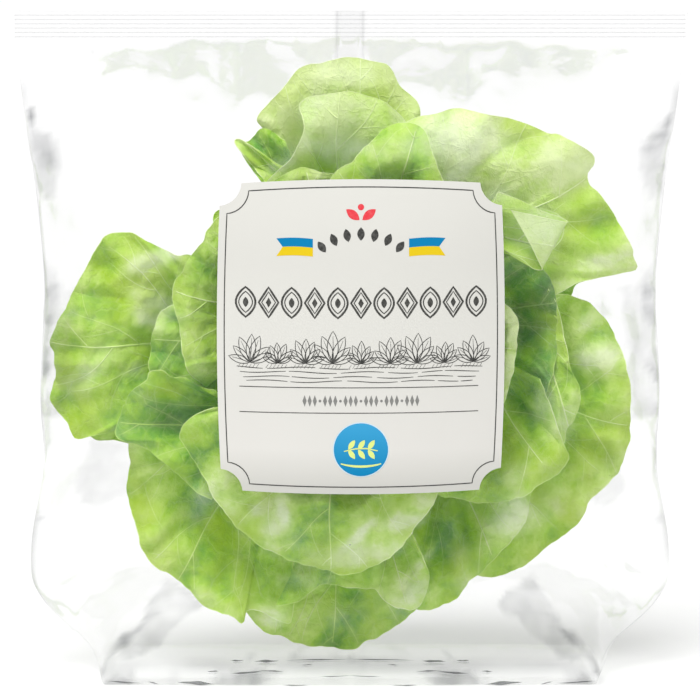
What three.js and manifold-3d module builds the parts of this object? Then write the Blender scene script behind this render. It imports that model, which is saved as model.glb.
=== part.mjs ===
// A pack of butterhead lettuce: one head in a clear flow-wrapped bag that stands on its folded
// base, with a paper label on the front. Millimetres, Z up. The front with the label looks
// along -Y, X runs to its right, and the origin is on the floor under the middle of the pack.
//
// The bag is a film tube, welded flat across the top and lapped into a fin down its back. At the
// bottom the tube is squared off to a flat base, with its corners tucked under, and it pinches in
// a little before it swells over the head. The tube does not stretch, so it is narrowest where it
// is deepest. It is sealed and full, so it is one solid with the film's outer form.

import * as THREE from 'three';
import { mergeVertices } from 'three/addons/utils/BufferGeometryUtils.js';
import Module from 'manifold-3d';

const wasm = await Module();
wasm.setup();

// Driving sizes of the pack
const PACK_HEIGHT = 248;
const TUBE_WIDTH = 251; // of the empty tube laid flat
const SEAL_HEIGHT = 11; // the welded band across the top
const SEAL_THICKNESS = 1;
const FRONT_DEPTH = 43; // from the weld's plane to the front, over the heart of the head

// The squared base. A crease rises from each of its corners, first upright and then leaning in.
const BASE_HALF_LENGTH = 92;
const BASE_SIDE_LEAN = 3; // how far the side walls of the base lean out
const STRUT_FOOT_Z = 8;
const STRUT_LEAN = 0.83; // run inwards for each millimetre of rise
const STRUT_TOP_X = 58; // where the crease runs out on the head

// The fin lies folded flat down the back
const FIN_WIDTH = 10;
const FIN_THICKNESS = 0.8;
const FIN_STEP = 0.004; // width of the fin's edge, as a share of the half width

// The paper label
const LABEL_WIDTH = 102.5;
const LABEL_HEIGHT = 112.4;
const LABEL_CENTRE = new THREE.Vector2(4, 130.7);
const LABEL_BOW = 1.5; // each side of the label bows outwards over the round head
const LABEL_NOTCH = 7.6; // radius of the hollow corners
const LABEL_THICKNESS = 0.4;
const LABEL_GAP = 0.3;

// The back is as deep as the front with its label, so that the origin stays in the middle
const BACK_DEPTH = FRONT_DEPTH + LABEL_GAP + LABEL_THICKNESS - FIN_THICKNESS;

const SEAL_Z = PACK_HEIGHT - SEAL_HEIGHT;
const BODY_ROWS = 32;
const COLUMNS = 42;
const STRUT_COLUMN = 0.72; // the share of the columns that lie between the two struts

// Half the width of the pack at a few heights. The sides buckle in at two waists.
const WAISTS = [79, 142];
const SIDE_KNOTS = [
  [0, BASE_HALF_LENGTH + BASE_SIDE_LEAN], [STRUT_FOOT_Z, 98], [22, 114], [34, 120.5], [46, 120.4],
  [60, 118.3], [WAISTS[0], 115.3], [102, 116.8], [126, 115.7], [WAISTS[1], 114.6], [170, 116.4],
  [212, 121.3], [SEAL_Z, 124.3], [PACK_HEIGHT, TUBE_WIDTH / 2],
];

// Depth of the middle of the pack at a few heights, as a share of its greatest depth
const DEPTH_KNOTS = [
  [0, 0.8], [12, 0.79], [34, 0.76], [54, 0.84], [84, 0.96], [128, 1], [165, 0.95], [192, 0.8],
  [212, 0.6], [226, 0.36], [SEAL_Z, 0], [PACK_HEIGHT, 0],
];

const { clamp, lerp, smoothstep } = THREE.MathUtils;

// A smooth curve through the knots that never overshoots them.
function through(knots, at) {
  const last = knots.length - 2;
  let k = 0;
  while (k < last && at > knots[k + 1][0]) k += 1;
  const slope = (i) => (knots[i + 1][1] - knots[i][1]) / (knots[i + 1][0] - knots[i][0]);
  const tangent = (i) => {
    if (i === 0) return slope(0);
    if (i > last) return slope(last);
    const [before, after] = [slope(i - 1), slope(i)];
    return before * after <= 0 ? 0 : (2 * before * after) / (before + after);
  };
  const [start, end] = [knots[k], knots[k + 1]];
  const span = end[0] - start[0];
  const t = clamp((at - start[0]) / span, 0, 1);
  const rest = 1 - t;
  return (
    start[1] * (1 + 2 * t) * rest * rest + tangent(k) * span * t * rest * rest +
    end[1] * (1 + 2 * rest) * t * t - tangent(k + 1) * span * rest * t * t
  );
}

const halfWidth = (z) => through(SIDE_KNOTS, z);

function strutX(z) {
  return Math.max(BASE_HALF_LENGTH - STRUT_LEAN * Math.max(0, z - STRUT_FOOT_Z), STRUT_TOP_X);
}

// A fold of the film as a ridge (or a hollow, if negative) along the line from a to b. It is as
// wide at b as given, narrows towards a, and fades out at b.
function fold(x, z, [ax, az], [bx, bz], width, height) {
  const [dx, dz] = [bx - ax, bz - az];
  const along = clamp(((x - ax) * dx + (z - az) * dz) / (dx * dx + dz * dz), 0, 1);
  const away = Math.hypot(x - ax - along * dx, z - az - along * dz);
  const wide = width * (0.35 + 0.65 * along);
  return height * Math.exp(-((away / wide) ** 2)) * Math.sin(Math.PI * (0.15 + 0.85 * along));
}

// The folds that show, on the right half of the pack. The left half mirrors them.
const CORNER_PLEATS = [
  { to: [64, 205], width: 7, height: 3 },
  { to: [84, 178], width: 8, height: -3.5 },
  { to: [98, 150], width: 7, height: 3 },
];
const WELD_PLEAT_PITCH = 27;
const WELD_PLEAT_HEIGHT = 1.6;
const WAIST_FOLD = { reach: 34, width: 7, height: -4 };

function folds(x, z) {
  const side = Math.abs(x);
  const corner = [halfWidth(SEAL_Z), SEAL_Z];
  let sum = 0;
  for (const { to, width, height } of CORNER_PLEATS) sum += fold(side, z, corner, to, width, height);
  for (const waist of WAISTS) {
    const edge = halfWidth(waist);
    const inner = [edge - WAIST_FOLD.reach, waist - WAIST_FOLD.width];
    sum += fold(side, z, [edge, waist], inner, WAIST_FOLD.width, WAIST_FOLD.height);
  }
  // Shallow pleats hang from the weld and run out on the head
  const hang = smoothstep(z, 196, 222) * (1 - smoothstep(z, 226, SEAL_Z));
  sum += WELD_PLEAT_HEIGHT * hang * Math.cos((2 * Math.PI * x) / WELD_PLEAT_PITCH);
  return sum;
}

// Depth of the front at the struts. The tube keeps its width round the section, so this is the
// third side of a triangle whose other sides are the tube's and the pack's from strut to edge.
function strutDepth(z) {
  const strut = strutX(z);
  return Math.sqrt((TUBE_WIDTH / 2 - strut) ** 2 - (halfWidth(z) - strut) ** 2);
}

// Distance of the film from the weld's plane, at a point of the front or the back.
function filmDepth(x, z, depth) {
  const middle = depth * through(DEPTH_KNOTS, z);
  const width = halfWidth(z);
  const side = Math.min(Math.abs(x), width);
  // Over the head the section is a lens
  const lens = middle * Math.max(0, 1 - (side / width) ** 2.2);
  // Below it the film is a front between the struts, and a flat side from strut to edge
  const strut = strutX(z);
  const corner = Math.min(strutDepth(z), middle);
  const flats = side <= strut
    ? lerp(middle, corner, (side / strut) ** 2)
    : (corner * (width - side)) / (width - strut);
  const body = lerp(flats, lens, smoothstep(z, 26, 70));
  const inside = smoothstep(width - side, 0, 16) * smoothstep(z, 0, 14);
  const sealed = smoothstep(z, SEAL_Z - 8, SEAL_Z);
  return SEAL_THICKNESS / 2 + Math.max(0, body + folds(x, z) * inside * (1 - sealed));
}

// Heights of the rows of film, closer together near the base.
function rowHeights() {
  const rows = [];
  for (let i = 0; i <= BODY_ROWS; i += 1) {
    const t = i / BODY_ROWS;
    rows.push(SEAL_Z * (0.7 * t + 0.3 * t * t));
  }
  return [...rows, PACK_HEIGHT];
}

// Columns from -1 to 1, with two close pairs for the edges of the fin.
function columnShares() {
  const finEdge = FIN_WIDTH / 2 / halfWidth(PACK_HEIGHT / 2);
  const columns = [-finEdge - FIN_STEP, -finEdge, finEdge, finEdge + FIN_STEP];
  const step = 2 / COLUMNS;
  for (let i = 0; i <= COLUMNS; i += 1) {
    const share = -1 + i * step;
    if (Math.abs(Math.abs(share) - finEdge) > step / 2) columns.push(share);
  }
  return columns.sort((a, b) => a - b);
}

// The x of a column at a height. A fixed column follows each strut.
function columnX(share, z) {
  const side = Math.abs(share);
  const strut = strutX(z);
  const x = side <= STRUT_COLUMN
    ? (strut * side) / STRUT_COLUMN
    : lerp(strut, halfWidth(z), (side - STRUT_COLUMN) / (1 - STRUT_COLUMN));
  return Math.sign(share) * x;
}

// The closed film: a front and a back sheet, joined along the sides, the weld and the base.
function bagGeometry() {
  const rows = rowHeights();
  const columns = columnShares();
  const finEdge = FIN_WIDTH / 2 / halfWidth(PACK_HEIGHT / 2);
  const perRow = columns.length;
  const position = [];
  for (const z of rows) {
    for (const share of columns) {
      const x = columnX(share, z);
      position.push(x, -filmDepth(x, z, FRONT_DEPTH), z);
    }
    for (const share of columns) {
      const x = columnX(share, z);
      const fin = Math.abs(share) < finEdge + FIN_STEP / 2 ? FIN_THICKNESS : 0;
      position.push(x, filmDepth(x, z, BACK_DEPTH) + fin, z);
    }
  }
  const front = (row, column) => row * 2 * perRow + column;
  const back = (row, column) => front(row, column) + perRow;
  const index = [];
  const quad = (a, b, c, d) => index.push(a, b, c, a, c, d);
  const [lastRow, lastColumn] = [rows.length - 1, perRow - 1];
  for (let r = 0; r < lastRow; r += 1) {
    for (let c = 0; c < lastColumn; c += 1) {
      quad(front(r, c), front(r, c + 1), front(r + 1, c + 1), front(r + 1, c));
      quad(back(r, c), back(r + 1, c), back(r + 1, c + 1), back(r, c + 1));
    }
    quad(front(r, lastColumn), back(r, lastColumn), back(r + 1, lastColumn), front(r + 1, lastColumn));
    quad(front(r, 0), front(r + 1, 0), back(r + 1, 0), back(r, 0));
  }
  for (let c = 0; c < lastColumn; c += 1) {
    quad(front(0, c), back(0, c), back(0, c + 1), front(0, c + 1));
    quad(front(lastRow, c), front(lastRow, c + 1), back(lastRow, c + 1), back(lastRow, c));
  }
  const geometry = new THREE.BufferGeometry();
  geometry.setAttribute('position', new THREE.Float32BufferAttribute(position, 3));
  geometry.setIndex(index);
  return geometry;
}

// The label's outline: four bowed sides between hollow round corners.
function labelShape() {
  const [w, h, r] = [LABEL_WIDTH / 2, LABEL_HEIGHT / 2, LABEL_NOTCH];
  const shape = new THREE.Shape();
  shape.moveTo(-w, -h + r);
  shape.absarc(-w, -h, r, Math.PI / 2, 0, true);
  shape.quadraticCurveTo(0, -h - 2 * LABEL_BOW, w - r, -h);
  shape.absarc(w, -h, r, Math.PI, Math.PI / 2, true);
  shape.quadraticCurveTo(w + 2 * LABEL_BOW, 0, w, h - r);
  shape.absarc(w, h, r, -Math.PI / 2, -Math.PI, true);
  shape.quadraticCurveTo(0, h + 2 * LABEL_BOW, -w + r, h);
  shape.absarc(-w, h, r, 0, -Math.PI / 2, true);
  shape.quadraticCurveTo(-w - 2 * LABEL_BOW, 0, -w, -h + r);
  return shape;
}

// A slab of paper that follows the front of the bag, a little larger than the label.
function paperGeometry() {
  const [across, up, margin] = [14, 16, 4];
  const geometry = new THREE.BoxGeometry(
    LABEL_WIDTH + 2 * margin, LABEL_THICKNESS, LABEL_HEIGHT + 2 * margin, across, 1, up,
  );
  const place = geometry.attributes.position;
  for (let i = 0; i < place.count; i += 1) {
    const x = place.getX(i) + LABEL_CENTRE.x;
    const z = place.getZ(i) + LABEL_CENTRE.y;
    const lift = LABEL_GAP + (place.getY(i) < 0 ? LABEL_THICKNESS : 0);
    place.setXYZ(i, x, -filmDepth(x, z, FRONT_DEPTH) - lift, z);
  }
  return geometry;
}

function solidOf(geometry) {
  const bare = geometry.clone();
  bare.deleteAttribute('normal');
  bare.deleteAttribute('uv');
  const merged = mergeVertices(bare, 1e-3);
  return new wasm.Manifold(new wasm.Mesh({
    numProp: 3,
    vertProperties: merged.attributes.position.array,
    triVerts: new Uint32Array(merged.index.array),
  }));
}

function geometryOf(solid) {
  const { vertProperties, triVerts } = solid.getMesh();
  const geometry = new THREE.BufferGeometry();
  geometry.setAttribute('position', new THREE.BufferAttribute(vertProperties, 3));
  geometry.setIndex(new THREE.BufferAttribute(triVerts, 1));
  return geometry;
}

// The label is the paper slab cut to the outline.
function labelGeometry() {
  const cutDepth = 2 * FRONT_DEPTH;
  const cutter = new THREE.ExtrudeGeometry(labelShape(), {
    depth: cutDepth, bevelEnabled: false, curveSegments: 7,
  });
  cutter.rotateX(Math.PI / 2);
  cutter.translate(LABEL_CENTRE.x, 0, LABEL_CENTRE.y);
  return geometryOf(solidOf(paperGeometry()).intersect(solidOf(cutter)));
}

function mesh(name, geometry, color, roughness) {
  geometry.computeVertexNormals();
  const material = new THREE.MeshStandardMaterial({ color, roughness, metalness: 0 });
  const made = new THREE.Mesh(geometry, material);
  made.name = name;
  return made;
}

const pack = new THREE.Group();
pack.name = 'butterhead_lettuce_pack';
pack.add(mesh('bag', bagGeometry(), '#b9d78a', 0.25));
pack.add(mesh('label', labelGeometry(), '#e9e8e3', 0.6));

export default pack;
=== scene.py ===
"""Dresses the solids of a pack of butterhead lettuce: film, leaves, label, print and studio.

Lengths are millimetres up to the point where a mesh is made, and metres in Blender. The front of
the pack looks along -Y. Leaves and print are placed by pixels of the picture, which the camera's
own rays carry onto the film, so each of them lies in the bag wherever it is seen from.
"""

import math
from dataclasses import dataclass

import bmesh
import bpy
import numpy as np
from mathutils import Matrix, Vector, geometry
from mathutils.bvhtree import BVHTree


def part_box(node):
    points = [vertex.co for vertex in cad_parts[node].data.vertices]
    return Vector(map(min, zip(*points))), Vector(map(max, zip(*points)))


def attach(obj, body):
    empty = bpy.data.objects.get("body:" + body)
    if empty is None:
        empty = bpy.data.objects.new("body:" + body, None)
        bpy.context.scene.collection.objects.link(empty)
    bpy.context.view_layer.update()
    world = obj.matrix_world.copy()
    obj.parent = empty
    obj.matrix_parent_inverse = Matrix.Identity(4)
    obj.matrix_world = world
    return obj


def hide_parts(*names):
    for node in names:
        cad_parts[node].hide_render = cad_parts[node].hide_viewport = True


bl_info = {
    "name": "Butterhead Lettuce Pack",
    "version": (1, 0, 0),
    "blender": (4, 5, 0),
    "location": "View3D > Sidebar > Lettuce Pack",
    "description": "Builds the film, leaves, label and print of a standing lettuce pack",
    "category": "Add Mesh",
}

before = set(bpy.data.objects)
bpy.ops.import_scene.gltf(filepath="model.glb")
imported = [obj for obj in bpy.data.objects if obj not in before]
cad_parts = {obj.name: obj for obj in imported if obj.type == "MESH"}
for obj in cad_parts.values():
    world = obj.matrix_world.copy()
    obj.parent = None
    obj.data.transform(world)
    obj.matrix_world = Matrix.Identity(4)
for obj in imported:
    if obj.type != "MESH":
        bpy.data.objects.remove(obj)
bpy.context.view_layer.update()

MM = 0.001
BAG_LOW, BAG_HIGH = (np.array(corner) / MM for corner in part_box("bag"))
LABEL_LOW, LABEL_HIGH = (np.array(corner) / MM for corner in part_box("label"))
PACK_HEIGHT = BAG_HIGH[2]

# The camera of the picture
PICTURE_SIZE = 700  # pixels each way
PIXEL = 0.375  # millimetres at the weld's plane
EYE_DISTANCE = 1600.0
EYE_TILT = math.radians(8.6)
AIM = np.array([0.0, 0.0, 120.9])
SENSOR = 36.0
RIGHT = np.array([1.0, 0.0, 0.0])
AHEAD = np.array([0.0, math.cos(EYE_TILT), -math.sin(EYE_TILT)])
ABOVE = np.array([0.0, math.sin(EYE_TILT), math.cos(EYE_TILT)])
EYE = AIM - EYE_DISTANCE * AHEAD


# ---- Colours and materials ----

DEEPEST_TONE, PALEST_TONE = -0.4, 1.0  # of a leaf
# The greys of gathered and crumpled film stand partly for painted shade of their folds
CLEAR_FILM = (0.995, 0.995, 0.995)  # share of light that one sheet lets through
GATHERED_FILM = (0.42, 0.425, 0.435)  # and that the many layers of a full gather let through
CRUMPLED_FILM = (0.5, 0.505, 0.515)  # and those of a tight crumple

def linear(code):
    """The linear colour of an sRGB hex code."""
    parts = [int(code[i:i + 2], 16) / 255 for i in (1, 3, 5)]
    return tuple(c / 12.92 if c <= 0.04045 else ((c + 0.055) / 1.055) ** 2.4 for c in parts)


MIX_FIRST, MIX_SECOND, MIXED = 6, 7, 2  # colour sockets of a Mix node: two in, one out


def add_node(tree, kind, inputs=None, stops=(), **settings):
    """Adds a node with its settings. The kind of a shader node is given without ShaderNode.

    An input is given a value, the socket that feeds it, or a node, whose first output then
    feeds it. A colour ramp also takes its stops, as (position, colour).
    """
    node = tree.nodes.new(kind if "Node" in kind else "ShaderNode" + kind)
    for name, value in settings.items():
        setattr(node, name, value)
    for key, value in (inputs or {}).items():
        socket = node.inputs[key]
        if isinstance(value, bpy.types.Node):
            value = value.outputs[0]
        if isinstance(value, bpy.types.NodeSocket):
            tree.links.new(value, socket)
        elif socket.type == "RGBA" and len(value) == 3:
            socket.default_value = (*value, 1)
        else:
            socket.default_value = value
    if stops:
        elements = node.color_ramp.elements
        while len(elements) < len(stops):
            elements.new(0.5)
        for element, (position, colour) in zip(elements, stops):
            element.position = position
            element.color = (*colour, 1)
    return node


def new_material(name):
    """An empty material, its node tree, and the place on the object in metres."""
    material = bpy.data.materials.new(name)
    material.use_nodes = True
    tree = material.node_tree
    tree.nodes.clear()
    return material, tree, add_node(tree, "TexCoord").outputs["Object"]


def vein_net(tree, place, scale, width):
    """A line of 1 along the edges of rounded meshes, 0 inside them."""
    net = add_node(
        tree, "TexVoronoi", {"Vector": place, "Scale": scale, "Randomness": 0.9},
        feature="DISTANCE_TO_EDGE")
    line = add_node(
        tree, "MapRange", {"Value": net, "From Max": width, "To Min": 1.0, "To Max": 0.0})
    return line.outputs[0]


def blade_colour(tree, settings, tone):
    """The blade's colour at a tone, from the painted shade of the deepest hollows to pale."""
    stretched = add_node(
        tree, "MapRange", {"Value": tone, "From Min": DEEPEST_TONE, "From Max": PALEST_TONE})
    ramp = add_node(
        tree, "ValToRGB", {"Fac": stretched},
        stops=[(0.0, settings.leaf_hollow), (0.28, settings.leaf_deep),
               (0.55, settings.leaf_green), (0.77, settings.leaf_light),
               (1.0, settings.leaf_pale)])
    return ramp.outputs["Color"]


def shifted(tree, value, noise, amount):
    """A value moved up or down by a noise that lies about one half."""
    centred = add_node(tree, "Math", {0: noise, 1: 0.5}, operation="SUBTRACT")
    moved = add_node(tree, "Math", {0: centred, 1: amount, 2: value}, operation="MULTIPLY_ADD")
    return moved.outputs[0]


def leaf_material(settings):
    """Butterhead blade: a soft, thin, watery leaf.

    Light goes through it, which makes hollows and overlaps yellower and stronger in colour than
    the lit faces. The skin is smooth and waxy, with a broad weak gloss.
    """
    material, tree, place = new_material("butterhead_leaf_blade")
    tone = add_node(tree, "Attribute", attribute_name="tone").outputs["Fac"]
    vein = add_node(tree, "Attribute", attribute_name="vein").outputs["Fac"]
    # Cloudy change of colour over 12 mm, puckers of 4 mm between the fine veins, and a fine mottle
    # of 1.5 mm from the cells under the skin
    clouding = add_node(tree, "TexNoise", {"Vector": place, "Scale": 85, "Detail": 4})
    mottle = add_node(tree, "TexNoise", {"Vector": place, "Scale": 650, "Detail": 3})
    pucker = add_node(tree, "TexNoise", {"Vector": place, "Scale": 240, "Detail": 4})
    tone = shifted(tree, tone, clouding, 0.5)
    tone = shifted(tree, tone, pucker, 0.4)
    tone = shifted(tree, tone, mottle, 0.36)
    blade = blade_colour(tree, settings, tone)
    # Young growth is yellower, in patches of about 25 mm
    young = add_node(tree, "TexNoise", {"Vector": place, "Scale": 42, "Detail": 3})
    young_share = add_node(
        tree, "MapRange", {"Value": young, "From Min": 0.46, "From Max": 0.64, "To Max": 0.6})
    blade = add_node(
        tree, "Mix", {"Factor": young_share, MIX_FIRST: blade, MIX_SECOND: settings.leaf_young},
        data_type="RGBA").outputs[MIXED]
    # The finest veins close into nets, with meshes of about 10 mm and of 3 mm
    in_leaf = add_node(tree, "Attribute", attribute_name="in_leaf").outputs["Vector"]
    wander = add_node(tree, "TexNoise", {"Vector": in_leaf, "Scale": 110, "Detail": 3})
    bent = add_node(
        tree, "VectorMath",
        {0: wander.outputs["Color"], 1: (0.012, 0.012, 0.0), 2: in_leaf},
        operation="MULTIPLY_ADD")
    net_line = vein_net(tree, bent, 100, 0.03)
    fine_line = vein_net(tree, bent, 330, 0.08)
    fine_share = add_node(tree, "Math", {0: fine_line, 1: 0.08}, operation="MULTIPLY")
    net_share = add_node(
        tree, "Math", {0: net_line, 1: 0.16, 2: fine_share},
        operation="MULTIPLY_ADD", use_clamp=True)
    blade = add_node(
        tree, "Mix", {"Factor": net_share, MIX_FIRST: blade, MIX_SECOND: settings.leaf_vein},
        data_type="RGBA").outputs[MIXED]
    near_vein = add_node(tree, "Math", {0: vein, 1: 0.22}, operation="MULTIPLY")
    blade = add_node(
        tree, "Mix", {"Factor": near_vein, MIX_FIRST: blade, MIX_SECOND: settings.leaf_vein},
        data_type="RGBA").outputs[MIXED]
    height = add_node(tree, "Math", {0: net_share, 1: -3.0, 2: mottle}, operation="MULTIPLY_ADD")
    height = add_node(tree, "Math", {0: pucker, 1: 2.5, 2: height}, operation="MULTIPLY_ADD")
    bump = add_node(tree, "Bump", {"Height": height, "Strength": 0.5, "Distance": 0.0005})
    skin = add_node(
        tree, "BsdfPrincipled", {"Base Color": blade, "Roughness": 0.4, "IOR": 1.4, "Normal": bump})
    through = add_node(
        tree, "Mix", {"Factor": 1.0, MIX_FIRST: blade, MIX_SECOND: settings.leaf_through},
        data_type="RGBA", blend_type="MULTIPLY").outputs[MIXED]
    glow = add_node(tree, "BsdfTranslucent", {"Color": through, "Normal": bump})
    both = add_node(tree, "MixShader", {0: 0.24, 1: skin, 2: glow})
    add_node(tree, "OutputMaterial", {"Surface": both})
    return material


def vein_material(settings):
    """Leaf rib: solid, watery and a little paler than the blade that it runs through."""
    material, tree, place = new_material("butterhead_leaf_rib")
    tone = add_node(tree, "Attribute", attribute_name="tone").outputs["Fac"]
    streak = add_node(tree, "TexNoise", {"Vector": place, "Scale": 240, "Detail": 2})
    tone = shifted(tree, tone, streak, 0.4)
    blade = blade_colour(tree, settings, tone)
    colour = add_node(
        tree, "Mix", {"Factor": 0.35, MIX_FIRST: blade, MIX_SECOND: settings.leaf_vein},
        data_type="RGBA").outputs[MIXED]
    rib = add_node(tree, "BsdfPrincipled", {"Base Color": colour, "Roughness": 0.4, "IOR": 1.38})
    add_node(tree, "OutputMaterial", {"Surface": rib})
    return material


def stem_material(settings):
    """Cut lettuce stem: wet creamy flesh, rusty where the air has reached the cut."""
    material, tree, place = new_material("cut_lettuce_stem")
    stain = add_node(tree, "TexNoise", {"Vector": place, "Scale": 160, "Detail": 4})
    cut = add_node(
        tree, "ValToRGB", {"Fac": stain},
        stops=[(0.35, settings.stem_flesh), (0.75, settings.stem_stain)])
    depth = add_node(tree, "SeparateXYZ", {"Vector": place}).outputs["Y"]
    face = film_depth().at(*HEAD_CENTRE, behind=True)
    near_face = add_node(
        tree, "MapRange",
        {"Value": depth, "From Min": (face - 8) * MM, "From Max": (face - 4) * MM})
    colour = add_node(
        tree, "Mix", {"Factor": near_face, MIX_FIRST: settings.stem_side, MIX_SECOND: cut},
        data_type="RGBA").outputs[MIXED]
    bump = add_node(tree, "Bump", {"Height": stain, "Strength": 0.4, "Distance": 0.0008})
    flesh = add_node(
        tree, "BsdfPrincipled",
        {"Base Color": colour, "Roughness": 0.35, "IOR": 1.38, "Normal": bump})
    add_node(tree, "OutputMaterial", {"Surface": flesh})
    return material


def film_material(settings):
    """Clear polypropylene film, 30 micrometres: almost all of it is what lies behind.

    It mirrors a little more at a slant, softly because the film is finely crumpled, and it
    carries a faint milky haze. Over leaves, diffuse white paints a sheen on it.
    """
    material, tree, place = new_material("clear_polypropylene_film")
    ripple = add_node(tree, "TexNoise", {"Vector": place, "Scale": 130, "Detail": 2})
    bump = add_node(tree, "Bump", {"Height": ripple, "Strength": 0.3, "Distance": 0.0012})
    gather = add_node(tree, "Attribute", attribute_name="gather").outputs["Fac"]
    veil = add_node(tree, "Attribute", attribute_name="veil").outputs["Fac"]
    # Where the film is gathered, its layers take light away; the grey is partly painted shade
    passed = add_node(
        tree, "Mix", {"Factor": gather, MIX_FIRST: CLEAR_FILM, MIX_SECOND: GATHERED_FILM},
        data_type="RGBA").outputs[MIXED]
    clear = add_node(tree, "BsdfTransparent", {"Color": passed})
    gloss = add_node(tree, "BsdfGlossy", {"Color": (1, 1, 1), "Roughness": 0.16, "Normal": bump})
    slant = add_node(tree, "Fresnel", {"IOR": 1.49, "Normal": bump})
    # Seen straight on it hardly mirrors, and fine crumples keep it from mirroring fully at a slant
    share = add_node(
        tree, "MapRange", {"Value": slant, "From Min": 0.03, "From Max": 0.3, "To Max": 0.24})
    shine = add_node(tree, "MixShader", {0: share, 1: clear, 2: gloss})
    haze = add_node(tree, "BsdfDiffuse", {"Color": settings.film_haze, "Normal": bump})
    # Painted sheen: where it lies over or near a leaf, diffuse white stands in for reflections
    milky = add_node(tree, "Math", {0: veil, 1: settings.film_haze_share})
    both = add_node(tree, "MixShader", {0: milky, 1: shine, 2: haze})
    add_node(tree, "OutputMaterial", {"Surface": both})
    return material


def gathered_film_material():
    """Film crumpled into a tight fold: many layers, grey and see-through, with a soft gloss."""
    material, tree, _ = new_material("gathered_polypropylene_film")
    # The grey is partly the crumple's layers and partly painted shade
    clear = add_node(tree, "BsdfTransparent", {"Color": CRUMPLED_FILM})
    gloss = add_node(tree, "BsdfGlossy", {"Color": (1, 1, 1), "Roughness": 0.3})
    both = add_node(tree, "MixShader", {0: 0.08, 1: clear, 2: gloss})
    add_node(tree, "OutputMaterial", {"Surface": both})
    return material


def paper_material(settings):
    """Coated label paper: warm white, satin, with the faint cloud of its fibres and painted shade.
    """
    material, tree, place = new_material("coated_label_paper")
    clouding = add_node(tree, "TexNoise", {"Vector": place, "Scale": 35, "Detail": 4})
    fibre = add_node(tree, "TexNoise", {"Vector": place, "Scale": 1800, "Detail": 2})
    colour = add_node(
        tree, "Mix",
        {"Factor": clouding, MIX_FIRST: (1.0, 1.0, 1.0), MIX_SECOND: (0.965, 0.965, 0.96)},
        data_type="RGBA").outputs[MIXED]
    # Painted shade: the paper is darker towards the top and at the foot than in between
    height = add_node(tree, "SeparateXYZ", {"Vector": place}).outputs["Z"]
    share = add_node(
        tree, "MapRange",
        {"Value": height, "From Min": LABEL_LOW[2] * MM, "From Max": LABEL_HIGH[2] * MM})
    painted_height_shade = add_node(
        tree, "ValToRGB", {"Fac": share},
        stops=[(0.03, settings.paper_foot), (0.15, settings.paper_light),
               (0.5, settings.paper_shade), (0.95, settings.paper_top)])
    colour = add_node(
        tree, "Mix", {"Factor": 1.0, MIX_FIRST: painted_height_shade, MIX_SECOND: colour},
        data_type="RGBA", blend_type="MULTIPLY").outputs[MIXED]
    bump = add_node(tree, "Bump", {"Height": fibre, "Strength": 0.15, "Distance": 0.0001})
    sheet = add_node(
        tree, "BsdfPrincipled",
        {"Base Color": colour, "Roughness": 0.6, "IOR": 1.25, "Normal": bump})
    add_node(tree, "OutputMaterial", {"Surface": sheet})
    return material


def ink_material(name, colour, worn):
    """Printing ink on paper: flat colour that thins a little with the paper's grain."""
    material, tree, place = new_material(name)
    grain = add_node(tree, "TexNoise", {"Vector": place, "Scale": 900, "Detail": 3})
    share = add_node(
        tree, "MapRange", {"Value": grain, "From Min": 0.4, "From Max": 0.8, "To Max": worn})
    tinted = add_node(
        tree, "Mix", {"Factor": share, MIX_FIRST: colour, MIX_SECOND: (0.8, 0.8, 0.76)},
        data_type="RGBA").outputs[MIXED]
    ink = add_node(tree, "BsdfPrincipled", {"Base Color": tinted, "Roughness": 0.55, "IOR": 1.2})
    add_node(tree, "OutputMaterial", {"Surface": ink})
    return material


def stamp_material(low, high):
    """Blue stamp ink, printed in a fade from deep blue at the foot to sky blue at the top."""
    material, tree, place = new_material("stamp_blue_ink")
    height = add_node(tree, "SeparateXYZ", {"Vector": place}).outputs["Z"]
    foot, top = ((LABEL_CENTRE[1] + b) * MM for b in (low, high))
    share = add_node(tree, "MapRange", {"Value": height, "From Min": foot, "From Max": top})
    colour = add_node(
        tree, "Mix",
        {"Factor": share, MIX_FIRST: linear("#0583B8"), MIX_SECOND: linear("#3FA3D4")},
        data_type="RGBA").outputs[MIXED]
    ink = add_node(tree, "BsdfPrincipled", {"Base Color": colour, "Roughness": 0.5, "IOR": 1.2})
    add_node(tree, "OutputMaterial", {"Surface": ink})
    return material


def floor_material():
    """Studio table: matt opal acrylic, lit from below, so that shadows on it are faint."""
    material, tree, place = new_material("opal_acrylic_table")
    clouding = add_node(tree, "TexNoise", {"Vector": place, "Scale": 3})
    colour = add_node(
        tree, "Mix",
        {"Factor": clouding, MIX_FIRST: (0.42, 0.42, 0.42), MIX_SECOND: (0.44, 0.44, 0.44)},
        data_type="RGBA").outputs[MIXED]
    sheet = add_node(
        tree, "BsdfPrincipled",
        {"Base Color": colour, "Roughness": 0.9, "IOR": 1.3, "Emission Color": (1, 1, 1, 1),
         "Emission Strength": 0.5})
    add_node(tree, "OutputMaterial", {"Surface": sheet})
    return material


# ---- Meshes ----

def add_object(name, data):
    """A new object in the scene."""
    added = bpy.data.objects.new(name, data)
    bpy.context.scene.collection.objects.link(added)
    return added


def make_piece(name, points, faces, materials, slots=None, smooth=True):
    """An object from points in millimetres, with its place in its mesh."""
    mesh = bpy.data.meshes.new(name)
    mesh.from_pydata(np.asarray(points, float) * MM, [], faces)
    for material in materials:
        mesh.materials.append(material)
    if slots is not None:
        mesh.polygons.foreach_set("material_index", np.asarray(slots, np.int32))
    mesh.polygons.foreach_set("use_smooth", np.full(len(mesh.polygons), smooth))
    mesh.update()
    return add_object(name, mesh)


def mesh_points(mesh):
    """The points of a mesh in millimetres."""
    flat = np.zeros(3 * len(mesh.vertices))
    mesh.vertices.foreach_get("co", flat)
    return flat.reshape(-1, 3) / MM


def move_points(piece, points):
    """Puts the points of a piece at the given places, in millimetres."""
    piece.data.vertices.foreach_set("co", (points * MM).ravel())
    piece.data.update()


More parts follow.
